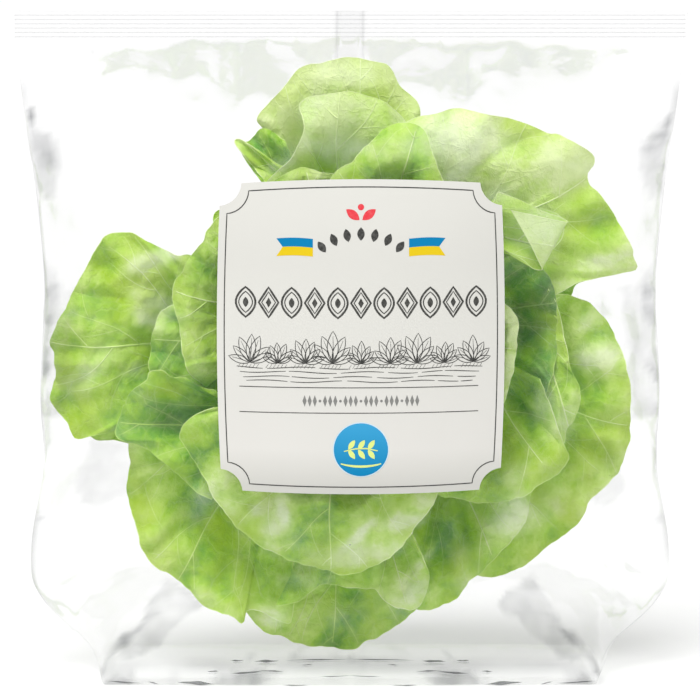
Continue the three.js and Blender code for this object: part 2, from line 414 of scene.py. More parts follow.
def settle(piece):
    """Turns what a piece's modifiers make into its plain mesh."""
    graph = bpy.context.evaluated_depsgraph_get()
    graph.update()
    mesh = bpy.data.meshes.new_from_object(piece.evaluated_get(graph))
    piece.modifiers.clear()
    piece.data = mesh
    return piece


def recalculate(piece):
    """Points the faces of a closed mesh outwards."""
    shape = bmesh.new()
    shape.from_mesh(piece.data)
    bmesh.ops.recalc_face_normals(shape, faces=shape.faces)
    shape.to_mesh(piece.data)
    shape.free()


def grid_faces(rows, columns, start=0):
    """Quads of a grid whose points run along a row first."""
    corner = (np.arange(rows - 1)[:, None] * columns + np.arange(columns - 1)).ravel() + start
    return np.column_stack([corner, corner + 1, corner + columns + 1, corner + columns]).tolist()


def unit(vector):
    return vector / max(np.linalg.norm(vector), 1e-9)


def unit_rows(vectors):
    return vectors / np.maximum(np.linalg.norm(vectors, axis=1, keepdims=True), 1e-9)


def run_along(points):
    """Distance along a line at each of its points."""
    return np.concatenate([[0], np.cumsum(np.linalg.norm(np.diff(points, axis=0), axis=1))])


def bilinear(table, gx, gz):
    """A table's values at places between its cells."""
    ix, iz = gx.astype(int), gz.astype(int)
    fx, fz = gx - ix, gz - iz
    near = table[ix, iz] * (1 - fx) + table[ix + 1, iz] * fx
    far = table[ix, iz + 1] * (1 - fx) + table[ix + 1, iz + 1] * fx
    return near * (1 - fz) + far * fz


def smoothstep(value, low, high):
    """0 below `low`, 1 above `high`, and a smooth rise between them."""
    share = np.clip((value - low) / (high - low), 0, 1)
    return share * share * (3 - 2 * share)


def cloud(x, y, size, seed):
    """Smooth random hills between about -1 and 1, `size` millimetres apart, as Perlin noise."""
    rng = np.random.default_rng(seed)
    slopes = rng.uniform(0, 2 * math.pi, (64, 64))
    turn, shift = rng.uniform(0, 2 * math.pi), rng.uniform(0, 64, 2)
    x, y = np.broadcast_arrays(np.asarray(x, float) / size, np.asarray(y, float) / size)
    gx = x * math.cos(turn) - y * math.sin(turn) + shift[0]
    gy = x * math.sin(turn) + y * math.cos(turn) + shift[1]
    ix, iy = np.floor(gx).astype(int), np.floor(gy).astype(int)
    fx, fy = gx - ix, gy - iy

    def corner(i, k):
        angle = slopes[(ix + i) % 64, (iy + k) % 64]
        return np.cos(angle) * (fx - i) + np.sin(angle) * (fy - k)

    ux, uy = (f ** 3 * (f * (6 * f - 15) + 10) for f in (fx, fy))
    near = corner(0, 0) * (1 - ux) + corner(1, 0) * ux
    far = corner(0, 1) * (1 - ux) + corner(1, 1) * ux
    return 1.6 * (near * (1 - uy) + far * uy)


def curve_through(points, count):
    """Evenly spaced points on a Catmull-Rom curve through the given ones."""
    points = np.asarray(points, float)
    ends = np.vstack([2 * points[0] - points[1], points, 2 * points[-1] - points[-2]])
    share = np.linspace(0, 1, 12, endpoint=False)[:, None]
    dense = []
    for a, b, c, d in zip(ends, ends[1:], ends[2:], ends[3:]):
        dense.append(0.5 * (
            2 * b + (c - a) * share + (2 * a - 5 * b + 4 * c - d) * share ** 2
            + (3 * b - a - 3 * c + d) * share ** 3))
    dense = np.vstack([*dense, points[-1:]])
    run = run_along(dense)
    at = np.linspace(0, run[-1], count)
    return np.column_stack([np.interp(at, run, dense[:, k]) for k in range(2)])


def ring_faces(rings, sides):
    """Faces of a skin over rings of points, closed at both ends."""
    faces = []
    for ring in range(rings - 1):
        for k in range(sides):
            a, b = ring * sides + k, ring * sides + (k + 1) % sides
            faces.append([a, b, b + sides, a + sides])
    faces.append(list(range(sides))[::-1])
    faces.append([(rings - 1) * sides + k for k in range(sides)])
    return faces


def tube(path, normals, widths, flatness, sides):
    """Points and faces of a closed tube, flattened along the normals."""
    path = np.asarray(path)
    along = unit_rows(np.gradient(path, axis=0))
    across = unit_rows(np.cross(along, normals))
    up = np.cross(across, along)
    angles = np.arange(sides) * 2 * math.pi / sides
    half = np.asarray(widths)[:, None, None] / 2
    rings = (
        path[:, None, :] + half * np.cos(angles)[None, :, None] * across[:, None, :]
        + half * flatness * np.sin(angles)[None, :, None] * up[:, None, :])
    return rings.reshape(-1, 3), ring_faces(len(path), sides)


def face_front(piece):
    """Turns the faces of a flat print towards the front."""
    shape = bmesh.new()
    shape.from_mesh(piece.data)
    shape.normal_update()
    bmesh.ops.reverse_faces(shape, faces=[face for face in shape.faces if face.normal.y > 0])
    shape.to_mesh(piece.data)
    shape.free()


def repeat_tree(name):
    """Geometry nodes that lay two objects in turns along a row, at even steps."""
    tree = bpy.data.node_groups.new(name, "GeometryNodeTree")
    for label, kind in (("Even", "NodeSocketObject"), ("Odd", "NodeSocketObject"),
                        ("Count", "NodeSocketInt"), ("Step", "NodeSocketVector"),
                        ("Ink", "NodeSocketMaterial")):
        tree.interface.new_socket(label, in_out="INPUT", socket_type=kind)
    tree.interface.new_socket("Geometry", in_out="OUTPUT", socket_type="NodeSocketGeometry")
    given = add_node(tree, "NodeGroupInput").outputs
    row = add_node(
        tree, "GeometryNodeMeshLine", {"Count": given["Count"], "Offset": given["Step"]},
        mode="OFFSET")
    index = add_node(tree, "GeometryNodeInputIndex")
    odd = add_node(tree, "Math", {0: index, 1: 2.0}, operation="MODULO").outputs[0]
    even = add_node(tree, "Math", {0: 1.0, 1: odd}, operation="SUBTRACT").outputs[0]
    join = tree.nodes.new("GeometryNodeJoinGeometry")
    for label, chosen in (("Even", even), ("Odd", odd)):
        shape = add_node(tree, "GeometryNodeObjectInfo", {"Object": given[label]})
        placed_shape = add_node(
            tree, "GeometryNodeInstanceOnPoints",
            {"Points": row, "Selection": chosen, "Instance": shape.outputs["Geometry"]})
        tree.links.new(placed_shape.outputs[0], join.inputs[0])
    real = add_node(tree, "GeometryNodeRealizeInstances", {"Geometry": join})
    inked = add_node(tree, "GeometryNodeSetMaterial", {"Geometry": real, "Material": given["Ink"]})
    add_node(tree, "NodeGroupOutput", {"Geometry": inked})
    return tree


def set_inputs(piece, tree, values):
    """Gives an object a geometry nodes modifier with its inputs."""
    modifier = piece.modifiers.new(tree.name, "NODES")
    modifier.node_group = tree
    for item in tree.interface.items_tree:
        if item.in_out == "INPUT":
            modifier[item.identifier] = values[item.name]


# ---- The film's form ----

def smooth_bag():
    """A rounded copy of the bag's solid, as a new object."""
    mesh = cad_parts["bag"].data.copy()
    shape = bmesh.new()
    shape.from_mesh(mesh)
    bmesh.ops.remove_doubles(shape, verts=shape.verts, dist=1e-6)
    crease = shape.edges.layers.float.new("crease_edge")
    for edge in shape.edges:
        if len(edge.link_faces) == 2 and edge.calc_face_angle(0) > math.radians(55):
            edge[crease] = 0.85
    bmesh.ops.join_triangles(
        shape, faces=shape.faces, angle_face_threshold=math.radians(35),
        angle_shape_threshold=math.radians(75))
    shape.to_mesh(mesh)
    shape.free()
    mesh.materials.clear()
    bag = add_object("film_bag", mesh)
    finer = bag.modifiers.new("finer", "SUBSURF")
    finer.levels = finer.render_levels = 2
    return settle(bag)


class FilmDepth:
    """How far in front of and behind the weld's plane the film lies, at any x and z."""

    STEP = 1.5

    def __init__(self, bag):
        bag.data.calc_loop_triangles()
        tree = BVHTree.FromPolygons(
            [v.co for v in bag.data.vertices], [p.vertices for p in bag.data.polygons])
        self.xs = np.arange(BAG_LOW[0], BAG_HIGH[0] + self.STEP, self.STEP)
        self.zs = np.arange(0, PACK_HEIGHT + self.STEP, self.STEP)
        self.maps = []
        for side in (-1, 1):
            found = np.zeros((len(self.xs), len(self.zs)))
            for i, x in enumerate(self.xs):
                for k, z in enumerate(self.zs):
                    hit = tree.ray_cast(Vector((x * MM, side, z * MM)), Vector((0, -side, 0)))[0]
                    found[i, k] = hit.y / MM if hit else 0
            self.maps.append(found)

    def at(self, x, z, behind=False):
        gx = np.clip((np.asarray(x, float) - self.xs[0]) / self.STEP, 0, len(self.xs) - 1.001)
        gz = np.clip(np.asarray(z, float) / self.STEP, 0, len(self.zs) - 1.001)
        return bilinear(self.maps[1 if behind else 0], gx, gz)

    def between(self, x, z, share):
        """Depth at a share of the way from the front film to the back film."""
        front = self.at(x, z)
        return front + (self.at(x, z, behind=True) - front) * share


# The grey of these gathers is partly their layers of film and partly painted shade of the folds
# Folds and gathers of the film that the picture shows grey, as pixels of their outlines on the
# left side, which the right side mirrors, and how much of a full gather they are
GATHERS = [
    ([(27, 105), (36, 118), (40, 131), (50, 133), (56, 143), (61, 148), (60, 168), (57, 182),
      (51, 198), (37, 194), (33, 165)], 0.3),
    ([(31, 132), (44, 134), (54, 150), (50, 166), (36, 170)], 0.24),
    ([(27, 106), (33, 117), (38, 131), (32, 128)], 0.3),
    ([(42, 260), (52, 268), (58, 281), (66, 289), (80, 286), (72, 330), (66, 416), (38, 416),
      (37, 370), (42, 315)], 0.24),
    ([(43, 288), (55, 284), (60, 300), (54, 322), (43, 326)], 0.42),
    ([(38, 348), (50, 350), (52, 368), (47, 380), (38, 381)], 0.4),
    ([(38, 402), (60, 398), (64, 416), (38, 416)], 0.22),
    ([(92, 438), (134, 442), (130, 500), (118, 496), (98, 508), (86, 503), (72, 484), (80, 470)],
     0.2),
    ([(168, 577), (190, 590), (206, 605), (185, 617), (160, 642), (145, 654), (128, 660),
      (117, 657), (122, 640), (142, 618), (152, 596)], 0.3),
    ([(101, 669), (107, 652), (124, 634), (142, 627), (130, 641), (117, 655), (108, 667)], 0.55),
    ([(142, 619), (154, 611), (158, 614), (146, 621)], 0.25),
    ([(99, 676), (116, 673), (140, 680), (146, 684), (100, 684)], 0.3),
    ([(140, 679), (178, 677), (178, 684), (142, 684)], 0.16),
    ([(213, 680), (232, 671), (262, 668), (284, 671), (262, 677), (240, 684), (213, 685)], 0.3),
    ([(244, 661), (252, 652), (257, 651), (250, 661)], 0.25),
    ([(288, 657), (298, 646), (312, 645), (296, 656)], 0.2),
    ([(290, 655), (352, 655), (352, 661), (290, 661)], 0.2),
    ([(34, 511), (45, 518), (42, 523), (34, 522)], 0.25),
]
GATHER_SOFTNESS = 1.1
SIDE_EDGE_SHADE, FIN_GATHER, FIN_EDGE_GATHER, WELD_GATHER = 0.3, 0.12, 0.22, 0.14
FILM_OFF_FLOOR = 0.12
FIN_HALF_WIDTH = 5.0
DEEPEST_CREASE = 0.55  # so that the film never dips into a leaf
GATHER_RAGGEDNESS = 0.9  # how far its outline wanders, in millimetres
# Half widths of the film at heights above the floor, and where most creases run out from
SIDE_PROFILE = ([0, 34, 80, 142, 212, 248], [95, 120, 115, 114, 121, 125])
HUB_PROFILE = ([0, 34, 142, 248], [93, 119, 114, 125])
HUB_HEIGHTS = [237, 142, 79, 10]  # of the weld's ends, the waists and the base's corners
SHARP_CREASES = 90
# Painted sheen, where leaf and film lie against each other and mirror the bright room: pixel x
# and y, radii in pixels, turn in degrees, strength
SHEEN_PLACES = [
    (462, 140, 44, 26, 12, 0.4), (398, 148, 30, 11, -8, 0.16), (574, 160, 24, 12, 25, 0.35),
    (345, 554, 50, 12, -6, 0.24), (276, 524, 30, 9, 42, 0.14), (508, 524, 30, 18, -30, 0.28),
    (84, 376, 14, 24, 35, 0.22), (128, 362, 22, 12, 20, 0.26), (153, 312, 18, 16, 5, 0.4),
    (150, 262, 30, 8, -20, 0.2), (600, 355, 24, 14, -5, 0.36), (590, 320, 22, 10, -25, 0.34),
    (600, 262, 30, 7, -8, 0.34), (196, 505, 14, 24, 30, 0.22), (310, 112, 12, 30, 20, 0.1),
    (310, 140, 30, 8, -15, 0.14), (560, 430, 14, 22, 20, 0.16), (486, 190, 22, 12, 20, 0.2),
    (268, 616, 16, 9, 12, 0.34), (410, 592, 16, 12, -30, 0.3), (545, 400, 10, 20, 20, 0.2),
    (340, 72, 44, 12, 0, 0.16), (530, 505, 24, 20, 0, 0.16), (360, 612, 50, 20, 0, 0.1),
    (210, 600, 24, 8, 25, 0.16), (470, 590, 20, 12, 60, 0.2), (300, 582, 24, 9, 0, 0.1),
    (538, 230, 22, 22, 30, 0.34), (165, 252, 34, 9, -22, 0.4), (345, 152, 34, 12, 6, 0.3),
    (448, 188, 26, 10, -60, 0.26), (276, 168, 20, 7, -30, 0.2), (284, 514, 6, 12, -15, 0.5),
    (268, 530, 8, 7, 0, 0.3), (262, 508, 16, 5, -35, 0.34), (278, 548, 16, 8, 10, 0.3),
    (350, 558, 18, 10, 0, 0.3), (360, 534, 28, 5, -45, 0.42), (400, 522, 20, 8, -10, 0.42),
    (420, 566, 26, 5, -50, 0.3), (455, 540, 13, 30, -8, 0.16), (525, 472, 30, 9, -12, 0.18),
]
# Strength of the painted sheen on the film and on the leaves
FILM_SHEEN, LEAF_SHEEN = 0.65, 1.0
STRONGEST_SHEEN = 0.32  # so that the film never hides what lies behind it
TOUCHING_SHEEN, NEAR_SHEEN = 0.09, 0.03  # where a leaf presses on the film, and where one is near
# Tight crumples in the base, from the left half of the picture: from and to pixels, thickness
BASE_CRUMPLES = [
    ((230, 660.6), (244, 660.4), 0.5), ((254, 661.4), (279, 660.8), 0.9),
    ((285, 660.3), (351, 659.0), 0.42), ((207, 671.4), (219, 671.2), 0.5),
    ((231, 673.6), (263, 671.6), 0.75), ((258, 670.4), (284, 671.6), 0.5),
    ((177, 682.0), (216, 684.2), 1.3), ((281, 685.2), (309, 685.4), 0.42),
    ((104, 681.0), (144, 683.4), 0.5), ((147, 681.6), (160, 684.2), 0.4),
    ((301, 665.0), (313, 664.4), 0.3), ((318, 677.0), (351, 675.6), 0.3),
]

FILM_DEPTH = {}


def film_depth():
    """The form of the film, measured once."""
    if "map" not in FILM_DEPTH:
        bag = smooth_bag()
        FILM_DEPTH["map"] = FilmDepth(bag)
        FILM_DEPTH["bag"] = bag
    return FILM_DEPTH["map"]


def picture_rays(pixels):
    """Directions from the eye through pixels of the picture."""
    aside = (np.asarray(pixels, float) - PICTURE_SIZE / 2) * PIXEL / EYE_DISTANCE
    return AHEAD + aside[:, :1] * RIGHT - aside[:, 1:] * ABOVE


def traced(pixels, share):
    """Where pixels of the picture meet the layer at a share of the bag's depth, as x and z."""
    depth = film_depth()
    ray = picture_rays(pixels)
    y = np.zeros(len(ray))
    for _ in range(4):
        hit = EYE + ray * ((y - EYE[1]) / ray[:, 1])[:, None]
        y = depth.between(hit[:, 0], hit[:, 2], share)
    return hit[:, [0, 2]]


def on_base(pixels, height):
    """Where pixels of the picture meet a level a little above the floor."""
    ray = picture_rays(pixels)
    return EYE + ray * ((height - EYE[2]) / ray[:, 2])[:, None]


def pale_at(x, z, share):
    """How strong the painted sheen is at any x and z, in the layer at a share of the bag's depth.
    """
    pale = np.zeros(x.shape)
    for px, py, long, short, degrees, strength in SHEEN_PLACES:
        centre = traced([(px, py)], share)[0]
        along = turned(np.array([1.0, 0.0]), -degrees)
        u = (x - centre[0]) * along[0] + (z - centre[1]) * along[1]
        v = (z - centre[1]) * along[0] - (x - centre[0]) * along[1]
        away = (u / long / PIXEL) ** 2 + (v / short / PIXEL) ** 2
        pale += strength * np.exp(-away ** 1.5)
    return pale


def inside_by(outline, x, z):
    """How far points lie inside a closed outline, negative outside it."""
    nearest, odd = np.full(x.shape, 1e3), np.zeros(x.shape, bool)
    for (ax, az), (bx, bz) in zip(outline, np.roll(outline, -1, axis=0)):
        ex, ez = bx - ax, bz - az
        run = np.clip(((x - ax) * ex + (z - az) * ez) / (ex * ex + ez * ez + 1e-9), 0, 1)
        nearest = np.minimum(nearest, np.hypot(x - ax - run * ex, z - az - run * ez))
        crosses = (az > z) != (bz > z)
        odd ^= crosses & (x < ex * (z - az) / (ez if ez else 1e-9) + ax)
    return np.where(odd, nearest, -nearest)


# ---- Leaves ----

@dataclass
class Leaf:
    """One leaf, as a fan of blade from its root to its rim."""

    name: str
    rim: list  # pixels of the picture that its edge runs through, from flank to flank
    root: tuple = (352, 345)  # pixel that its ribs run out from
    depth: tuple = (0.9, 0.3)  # share of the bag's depth at its root and rim, 0 at the front film
    rise: float = 1.0  # share of the length at which the blade reaches the rim's depth
    # Leaves in shade get a lower tone and lit ones a higher one: painted light and shade
    tone: float = 0.45  # lightness of the blade, from 0, deep green, to 1, pale
    ruffle: tuple = (1.2, 5)  # height of the waves along the rim, in millimetres, and their number
    pleat: tuple = (2.0, 3)  # height of the swellings that run out from the root, and their number
    curl: float = 1.2  # how far the rim turns back (or forward, if negative), in millimetres
    folds: tuple = ()  # lines (from, to, radius) past whose left side it turns over to the front
    # A bulge's tone is painted light on a swelling and painted shade in a hollow
    bulges: tuple = ()  # rounded swellings (pixel x and y, pixel radius, millimetres, tone)
    ribs: float = 1.0  # thickness of the ribs, as a share of the usual
    soft: float = 1.0  # how strongly it waves, crinkles and changes in tone, likewise
    facing: int = 1  # 1 where the blade swells to the front of the pack, -1 where to the back
    seed: int = 1  # fixes all that is random in the leaf
    tip: tuple = None  # pixel that its main rib runs to, if not to the middle of its rim
    plan: tuple = None  # its rim and root in millimetres, where the picture doesn't show it

    @property
    def variety(self):
        """Strength of its swellings and clouds of tone, as a share of the usual."""
        return 0.4 + 0.6 * self.soft

    def noise(self, across, along, size, number):
        """Random hills of the given size in millimetres, others for each number."""
        return cloud(across, along, size, self.seed + number)


LEAF_ROWS = 110  # along the rim
LEAF_LENGTHS = 80  # from root to rim
ROOT_SHARE = 0.05
RIM_ROLL = 7.0  # width of the turned rim
RIM_BEAD = 0.4  # thickness of the rim
FILM_CLEARANCE = 0.9
LEAF_GAP = 1.0  # between one leaf and the next behind it
FILM_EASE = 0.08  # share of the room between the films in which a leaf is eased off them
LEAF_SINK = 0.15  # share of its overlap that a leaf keeps where it meets one in front of it
TUBE_SIDES = 5  # of ribs and rims
RIB_FLATNESS = 0.6
RIB_LIFT = 0.06  # above the blade
FREE_WAVES = ((3.8, 30, 50), (1.3, 14, 90))  # height, size in millimetres, number of the noise
VEIN_STEP = 2.4
VEIN_WIDTHS = {1: (1.3, 0.3), 2: (0.5, 0.2), 3: (0.28, 0.13)}
VEIN_PALENESS = {1: 0.34, 2: 0.22, 3: 0.12}  # how much lighter than the blade
BRANCH_ANGLES = {1: 50, 2: 44}


def turned(vector, degrees):
    """A flat vector, turned anticlockwise."""
    c, s = math.cos(math.radians(degrees)), math.sin(math.radians(degrees))
    return np.array([vector[0] * c - vector[1] * s, vector[0] * s + vector[1] * c])


def vein_network(root, tip, holds, spacing, rng):
    """Branching rib lines in the flat leaf, as (points, level). They join where they meet."""
    veins, taken = [], []
    span = np.linalg.norm(tip - root)
    first = root + (tip - root) * ROOT_SHARE
    waiting = [(first, unit(tip - root), span * 0.97, 1)]
    for lean in (-60, -32, 32, 60):
        waiting.append((first, turned(unit(tip - root), lean + rng.normal(0, 4)), span * 0.9, 2))
    for point, heading, reach, level in waiting:
        path = [point]
        gone, side = 0.0, rng.choice([-1, 1])
        branch_at = spacing * (0.5 + 0.5 * rng.random())
        pull = {1: 0.01, 2: 0.05, 3: 0.04}[level]
        phase, meander = rng.uniform(0, 6), {1: 1.4, 2: 3.6, 3: 6.5}[level]
        while gone < reach:
            sway = meander * math.sin(gone / 9 + phase) + rng.normal(0, 0.8)
            heading = turned(unit(heading + pull * unit(point - root)), sway)
            point = point + heading * VEIN_STEP
            if not holds(point):
                break
            if gone > 2.5 * VEIN_STEP and level > 1:
                apart = np.linalg.norm(np.array(taken) - point, axis=1)
                if apart.min() < 0.9 * VEIN_STEP:
                    path.append(taken[int(apart.argmin())])
                    break
            path.append(point)
            gone += VEIN_STEP
            if level < 3 and gone > branch_at:
                lean = BRANCH_ANGLES[level] + rng.normal(0, 7)
                length = reach * 0.75 if level == 1 else rng.uniform(8, 20)
                waiting.append((point, turned(heading, side * lean), length, level + 1))
                side = -side
                branch_at += spacing * (0.5 + 0.4 * rng.random()) * (1 if level == 1 else 0.8)
        taken += path
        if len(path) > 2:
            veins.append((np.array(path), level))
    return veins


def fold_over(flat, lift, start, end, radius):
    """Rolls the part of a leaf to the left of a line over towards the front."""
    along = unit(end - start)
    across = np.array([-along[1], along[0]])
    beyond = (flat - start) @ across
    turn = np.clip(beyond / radius, 0, math.pi)
    moved = radius * np.sin(turn) - np.maximum(beyond - math.pi * radius, 0)
    over = beyond > 0
    flat = flat + np.where(over, moved - beyond, 0)[..., None] * across
    lift = lift + np.where(over, radius * (1 - np.cos(turn)), 0)
    return flat, lift, beyond > radius * math.pi / 2


class LeafStack:
    """How far back the leaves made so far reach, so that the next one lies behind them."""

    STEP = 2.0

    def __init__(self):
        self.columns = int((BAG_HIGH[0] - BAG_LOW[0]) / self.STEP) + 3
        self.rows = int(PACK_HEIGHT / self.STEP) + 3
        self.reach = np.full((self.columns, self.rows), -1e3)
        self.face = np.full((self.columns, self.rows), 1e3)

    def cells(self, x, z):
        i = np.clip(((x - BAG_LOW[0]) / self.STEP).astype(int), 0, self.columns - 2)
        k = np.clip((z / self.STEP).astype(int), 0, self.rows - 2)
        return i, k

    def face_at(self, x, z):
        """Depth of the foremost leaf at any x and z."""
        return self.face[self.cells(x, z)]

    def behind(self, x, z):
        """The least depth at which a leaf lies behind all the others, at any x and z."""
        gx = np.clip((x - BAG_LOW[0]) / self.STEP - 0.5, 0, self.columns - 2.001)
        gz = np.clip(z / self.STEP - 0.5, 0, self.rows - 2.001)
        return bilinear(self.reach, gx, gz)

    def add(self, x, y, z):
        """Takes in a leaf. Round it the limit falls off gently, as a leaf bends over an edge."""
        i, k = self.cells(x, z)
        np.minimum.at(self.face, (i.ravel(), k.ravel()), y.ravel())
        mine = np.full_like(self.reach, -1e3)
        np.maximum.at(mine, (i.ravel(), k.ravel()), y.ravel())
        for _ in range(12):
            grown = mine.copy()
            for axis in (0, 1):
                for way in (-1, 1):
                    grown = np.maximum(grown, np.roll(mine, way, axis) - 1.1 * self.STEP)
            mine = grown
        self.reach = np.maximum(self.reach, mine + LEAF_GAP)


LEAF_STACK = {}


class Blade:
    """The blade of a leaf while it is still flat: a grid of points from its root to its rim."""

    def __init__(self, leaf):
        if leaf.plan is None:
            outline = traced(leaf.rim, leaf.depth[1])
            self.root = traced([leaf.root], leaf.depth[1])[0]
        else:
            outline, self.root = leaf.plan
        rim = curve_through(outline, LEAF_ROWS)
        self.edge_run = run_along(rim)
        # Fine scallops along the edge
        scallop = 0.5 * leaf.noise(self.edge_run, 0, 6, 5)
        scallop += 0.25 * leaf.noise(self.edge_run, 0, 3, 6)
        rim = rim + leaf.soft * scallop[:, None] * unit_rows(rim - self.root)
        share = ROOT_SHARE + (1 - ROOT_SHARE) * np.linspace(0, 1, LEAF_LENGTHS) ** 0.8
        self.flat = self.root + share[None, :, None] * (rim[:, None, :] - self.root)
        self.corners = self.flat.reshape(-1, 2)
        # Shares of the way along the rim and of the way out to it, and the same in millimetres
        self.s = np.repeat(np.linspace(0, 1, LEAF_ROWS)[:, None], LEAF_LENGTHS, 1)
        self.t = np.repeat(share[None, :], LEAF_ROWS, 0)
        self.around = self.s * np.linalg.norm(np.diff(rim, axis=0), axis=1).sum()
        self.from_rim = (1 - self.t) * np.linalg.norm(rim - self.root, axis=1)[:, None]
        self.tip = rim[LEAF_ROWS // 2]
        if leaf.tip is not None:
            self.tip = traced([leaf.tip], leaf.depth[1])[0]
        self.quads = np.array(grid_faces(LEAF_ROWS, LEAF_LENGTHS))
        self.triangles = np.vstack([self.quads[:, [0, 1, 2]], self.quads[:, [0, 2, 3]]])
        self.sheet = BVHTree.FromPolygons(
            [(a, b, 0) for a, b in self.corners],
            [tuple(int(i) for i in triangle) for triangle in self.triangles])

    def under(self, point):
        """What lies under a flat point: where, and in which triangle."""
        hit, _, index, _ = self.sheet.ray_cast(Vector((*point, 1)), Vector((0, 0, -1)))
        return hit, index

    def away_from(self, veins, levels):
        """Distance of each point from the ribs of some levels."""
        lines = [path for path, level in veins if level in levels]
        if not lines:
            return np.full(self.t.shape, 30.0)
        gaps = self.corners[:, None, :] - np.vstack(lines)[None, :, :]
        return np.sqrt((gaps ** 2).sum(2).min(1)).reshape(self.t.shape)


def blade_relief(leaf, blade, swell, main, fine):
    """Height of the blade towards the front, and its tone, which carries painted light and shade.

    It swells between its ribs, which are `main` and `fine` away, and has crinkles, pleats, and
    waves along its rim.
    """
    x, z, t = blade.flat[..., 0], blade.flat[..., 1], blade.t
    relief = leaf.variety * swell * (1 - np.exp(-(main / 5) ** 2))
    relief *= 0.7 + 0.6 * leaf.noise(x, z, 11, 0)
    relief += 0.4 * leaf.soft * swell * (1 - np.exp(-(fine / 2.2) ** 2))
    relief += 0.3 * leaf.soft * swell * leaf.noise(x, z, 5, 11)
    # Crinkles: sharp valleys between small round hills
    crinkle = np.abs(leaf.noise(x, z, 9, 71)) - 0.3
    crinkle += 0.45 * (np.abs(leaf.noise(x, z, 4.5, 72)) - 0.3)
    relief += 0.8 * leaf.soft * swell * crinkle
    outer = smoothstep(t, 0.3, 1.0)
    for height, size, number in FREE_WAVES:
        relief += height * leaf.soft * outer * leaf.noise(x, z, size, number)
    height, pleats = leaf.pleat
    drift = 0.5 * leaf.noise(blade.around, blade.from_rim, 40, 33)
    pleat = np.abs(np.sin(math.pi * (pleats * blade.s + drift + 0.37 * leaf.seed))) ** 0.7 - 0.65
    relief += height * outer * pleat
    height, waves = leaf.ruffle
    phase = 2 * math.pi * (waves * blade.s + 0.5 * leaf.noise(blade.around, t * 0, 30, 7))
    relief += height * smoothstep(t, 0.6, 1.0) * np.sin(phase + leaf.seed)
    bend = np.clip((RIM_ROLL - blade.from_rim) / RIM_ROLL, 0, 1) ** 2
    relief -= leaf.curl * bend * (0.7 + 0.7 * leaf.noise(blade.around, t * 0, 22, 3))

    # Paler at rim and root; painted light on the hills and pleats, painted shade in their valleys
    tone = leaf.tone + 0.08 * smoothstep(t, 0.85, 1.0) + 0.3 * (1 - smoothstep(t, 0.1, 0.35))
    tone += 0.12 * pleat + 0.035 * relief
    tone += 0.26 * leaf.variety * leaf.noise(x, z, 30, 21)
    tone += 0.2 * leaf.variety * leaf.noise(blade.around, 0.3 * blade.from_rim, 11, 61)
    # Painted shade in the crinkles' valleys, painted light on their hills
    tone += 0.24 * leaf.soft * crinkle
    if leaf.plan is None:
        # Painted sheen: the leaf is lighter where it would mirror the bright room
        sheen_streaks = 0.85 + 0.7 * leaf.noise(blade.around, 0.25 * blade.from_rim, 7, 17)
        tone += LEAF_SHEEN * pale_at(x, z, leaf.depth[1]) * np.clip(sheen_streaks, 0.3, 1.4)
    # Painted light and shade: bulges lighten swellings and darken hollows through their tone
    for px, py, pixel_radius, swelling, lighter in leaf.bulges:
        centre = traced([(px, py)], leaf.depth[1])[0]
        near = np.exp(-((blade.flat - centre) ** 2).sum(2) / (pixel_radius * PIXEL) ** 2)
        relief += swelling * near
        tone += lighter * near
    return relief, tone


def held_by_film(y, front, back):
    """Depths that the film holds in, more and more firmly as a leaf comes near it."""
    room = np.maximum(back - front - 2 * FILM_CLEARANCE, 0.4)
    inside = np.clip((y - front - FILM_CLEARANCE) / room, -2, 3)
    far = 1 - FILM_EASE
    low = FILM_EASE * np.exp(np.minimum(inside - FILM_EASE, 0) / FILM_EASE)
    high = 1 - FILM_EASE * np.exp(np.minimum(far - inside, 0) / FILM_EASE)
    held = np.where(inside < FILM_EASE, low, np.where(inside > far, high, inside))
    return front + (back - front - room) / 2 + held * room


def rib_line(leaf, blade, path, level, points, tones):
    """A rib's line along the finished blade, with its normals, widths and tones."""
    landed, normals, paleness = [], [], []
    for point in curve_through(path, 2 * len(path)):
        hit, index = blade.under(point)
        if hit is None:
            continue
        ids = blade.triangles[index]
        a, b, c = (Vector(points[i]) for i in ids)
        u, v, w = (Vector((*blade.corners[i], 0)) for i in ids)
        normal = (b - a).cross(c - a).normalized()
        normals.append(-normal if normal.y * leaf.facing > 0 else normal)
        landed.append(geometry.barycentric_transform(hit, u, v, w, a, b, c))
        paleness.append(tones.flat[ids[0]] + VEIN_PALENESS[level])
    widths = leaf.ribs * np.linspace(*VEIN_WIDTHS[level], len(landed))
    line = np.array(landed) + RIB_LIFT * np.array(normals)
    return line, np.array(normals), widths, paleness


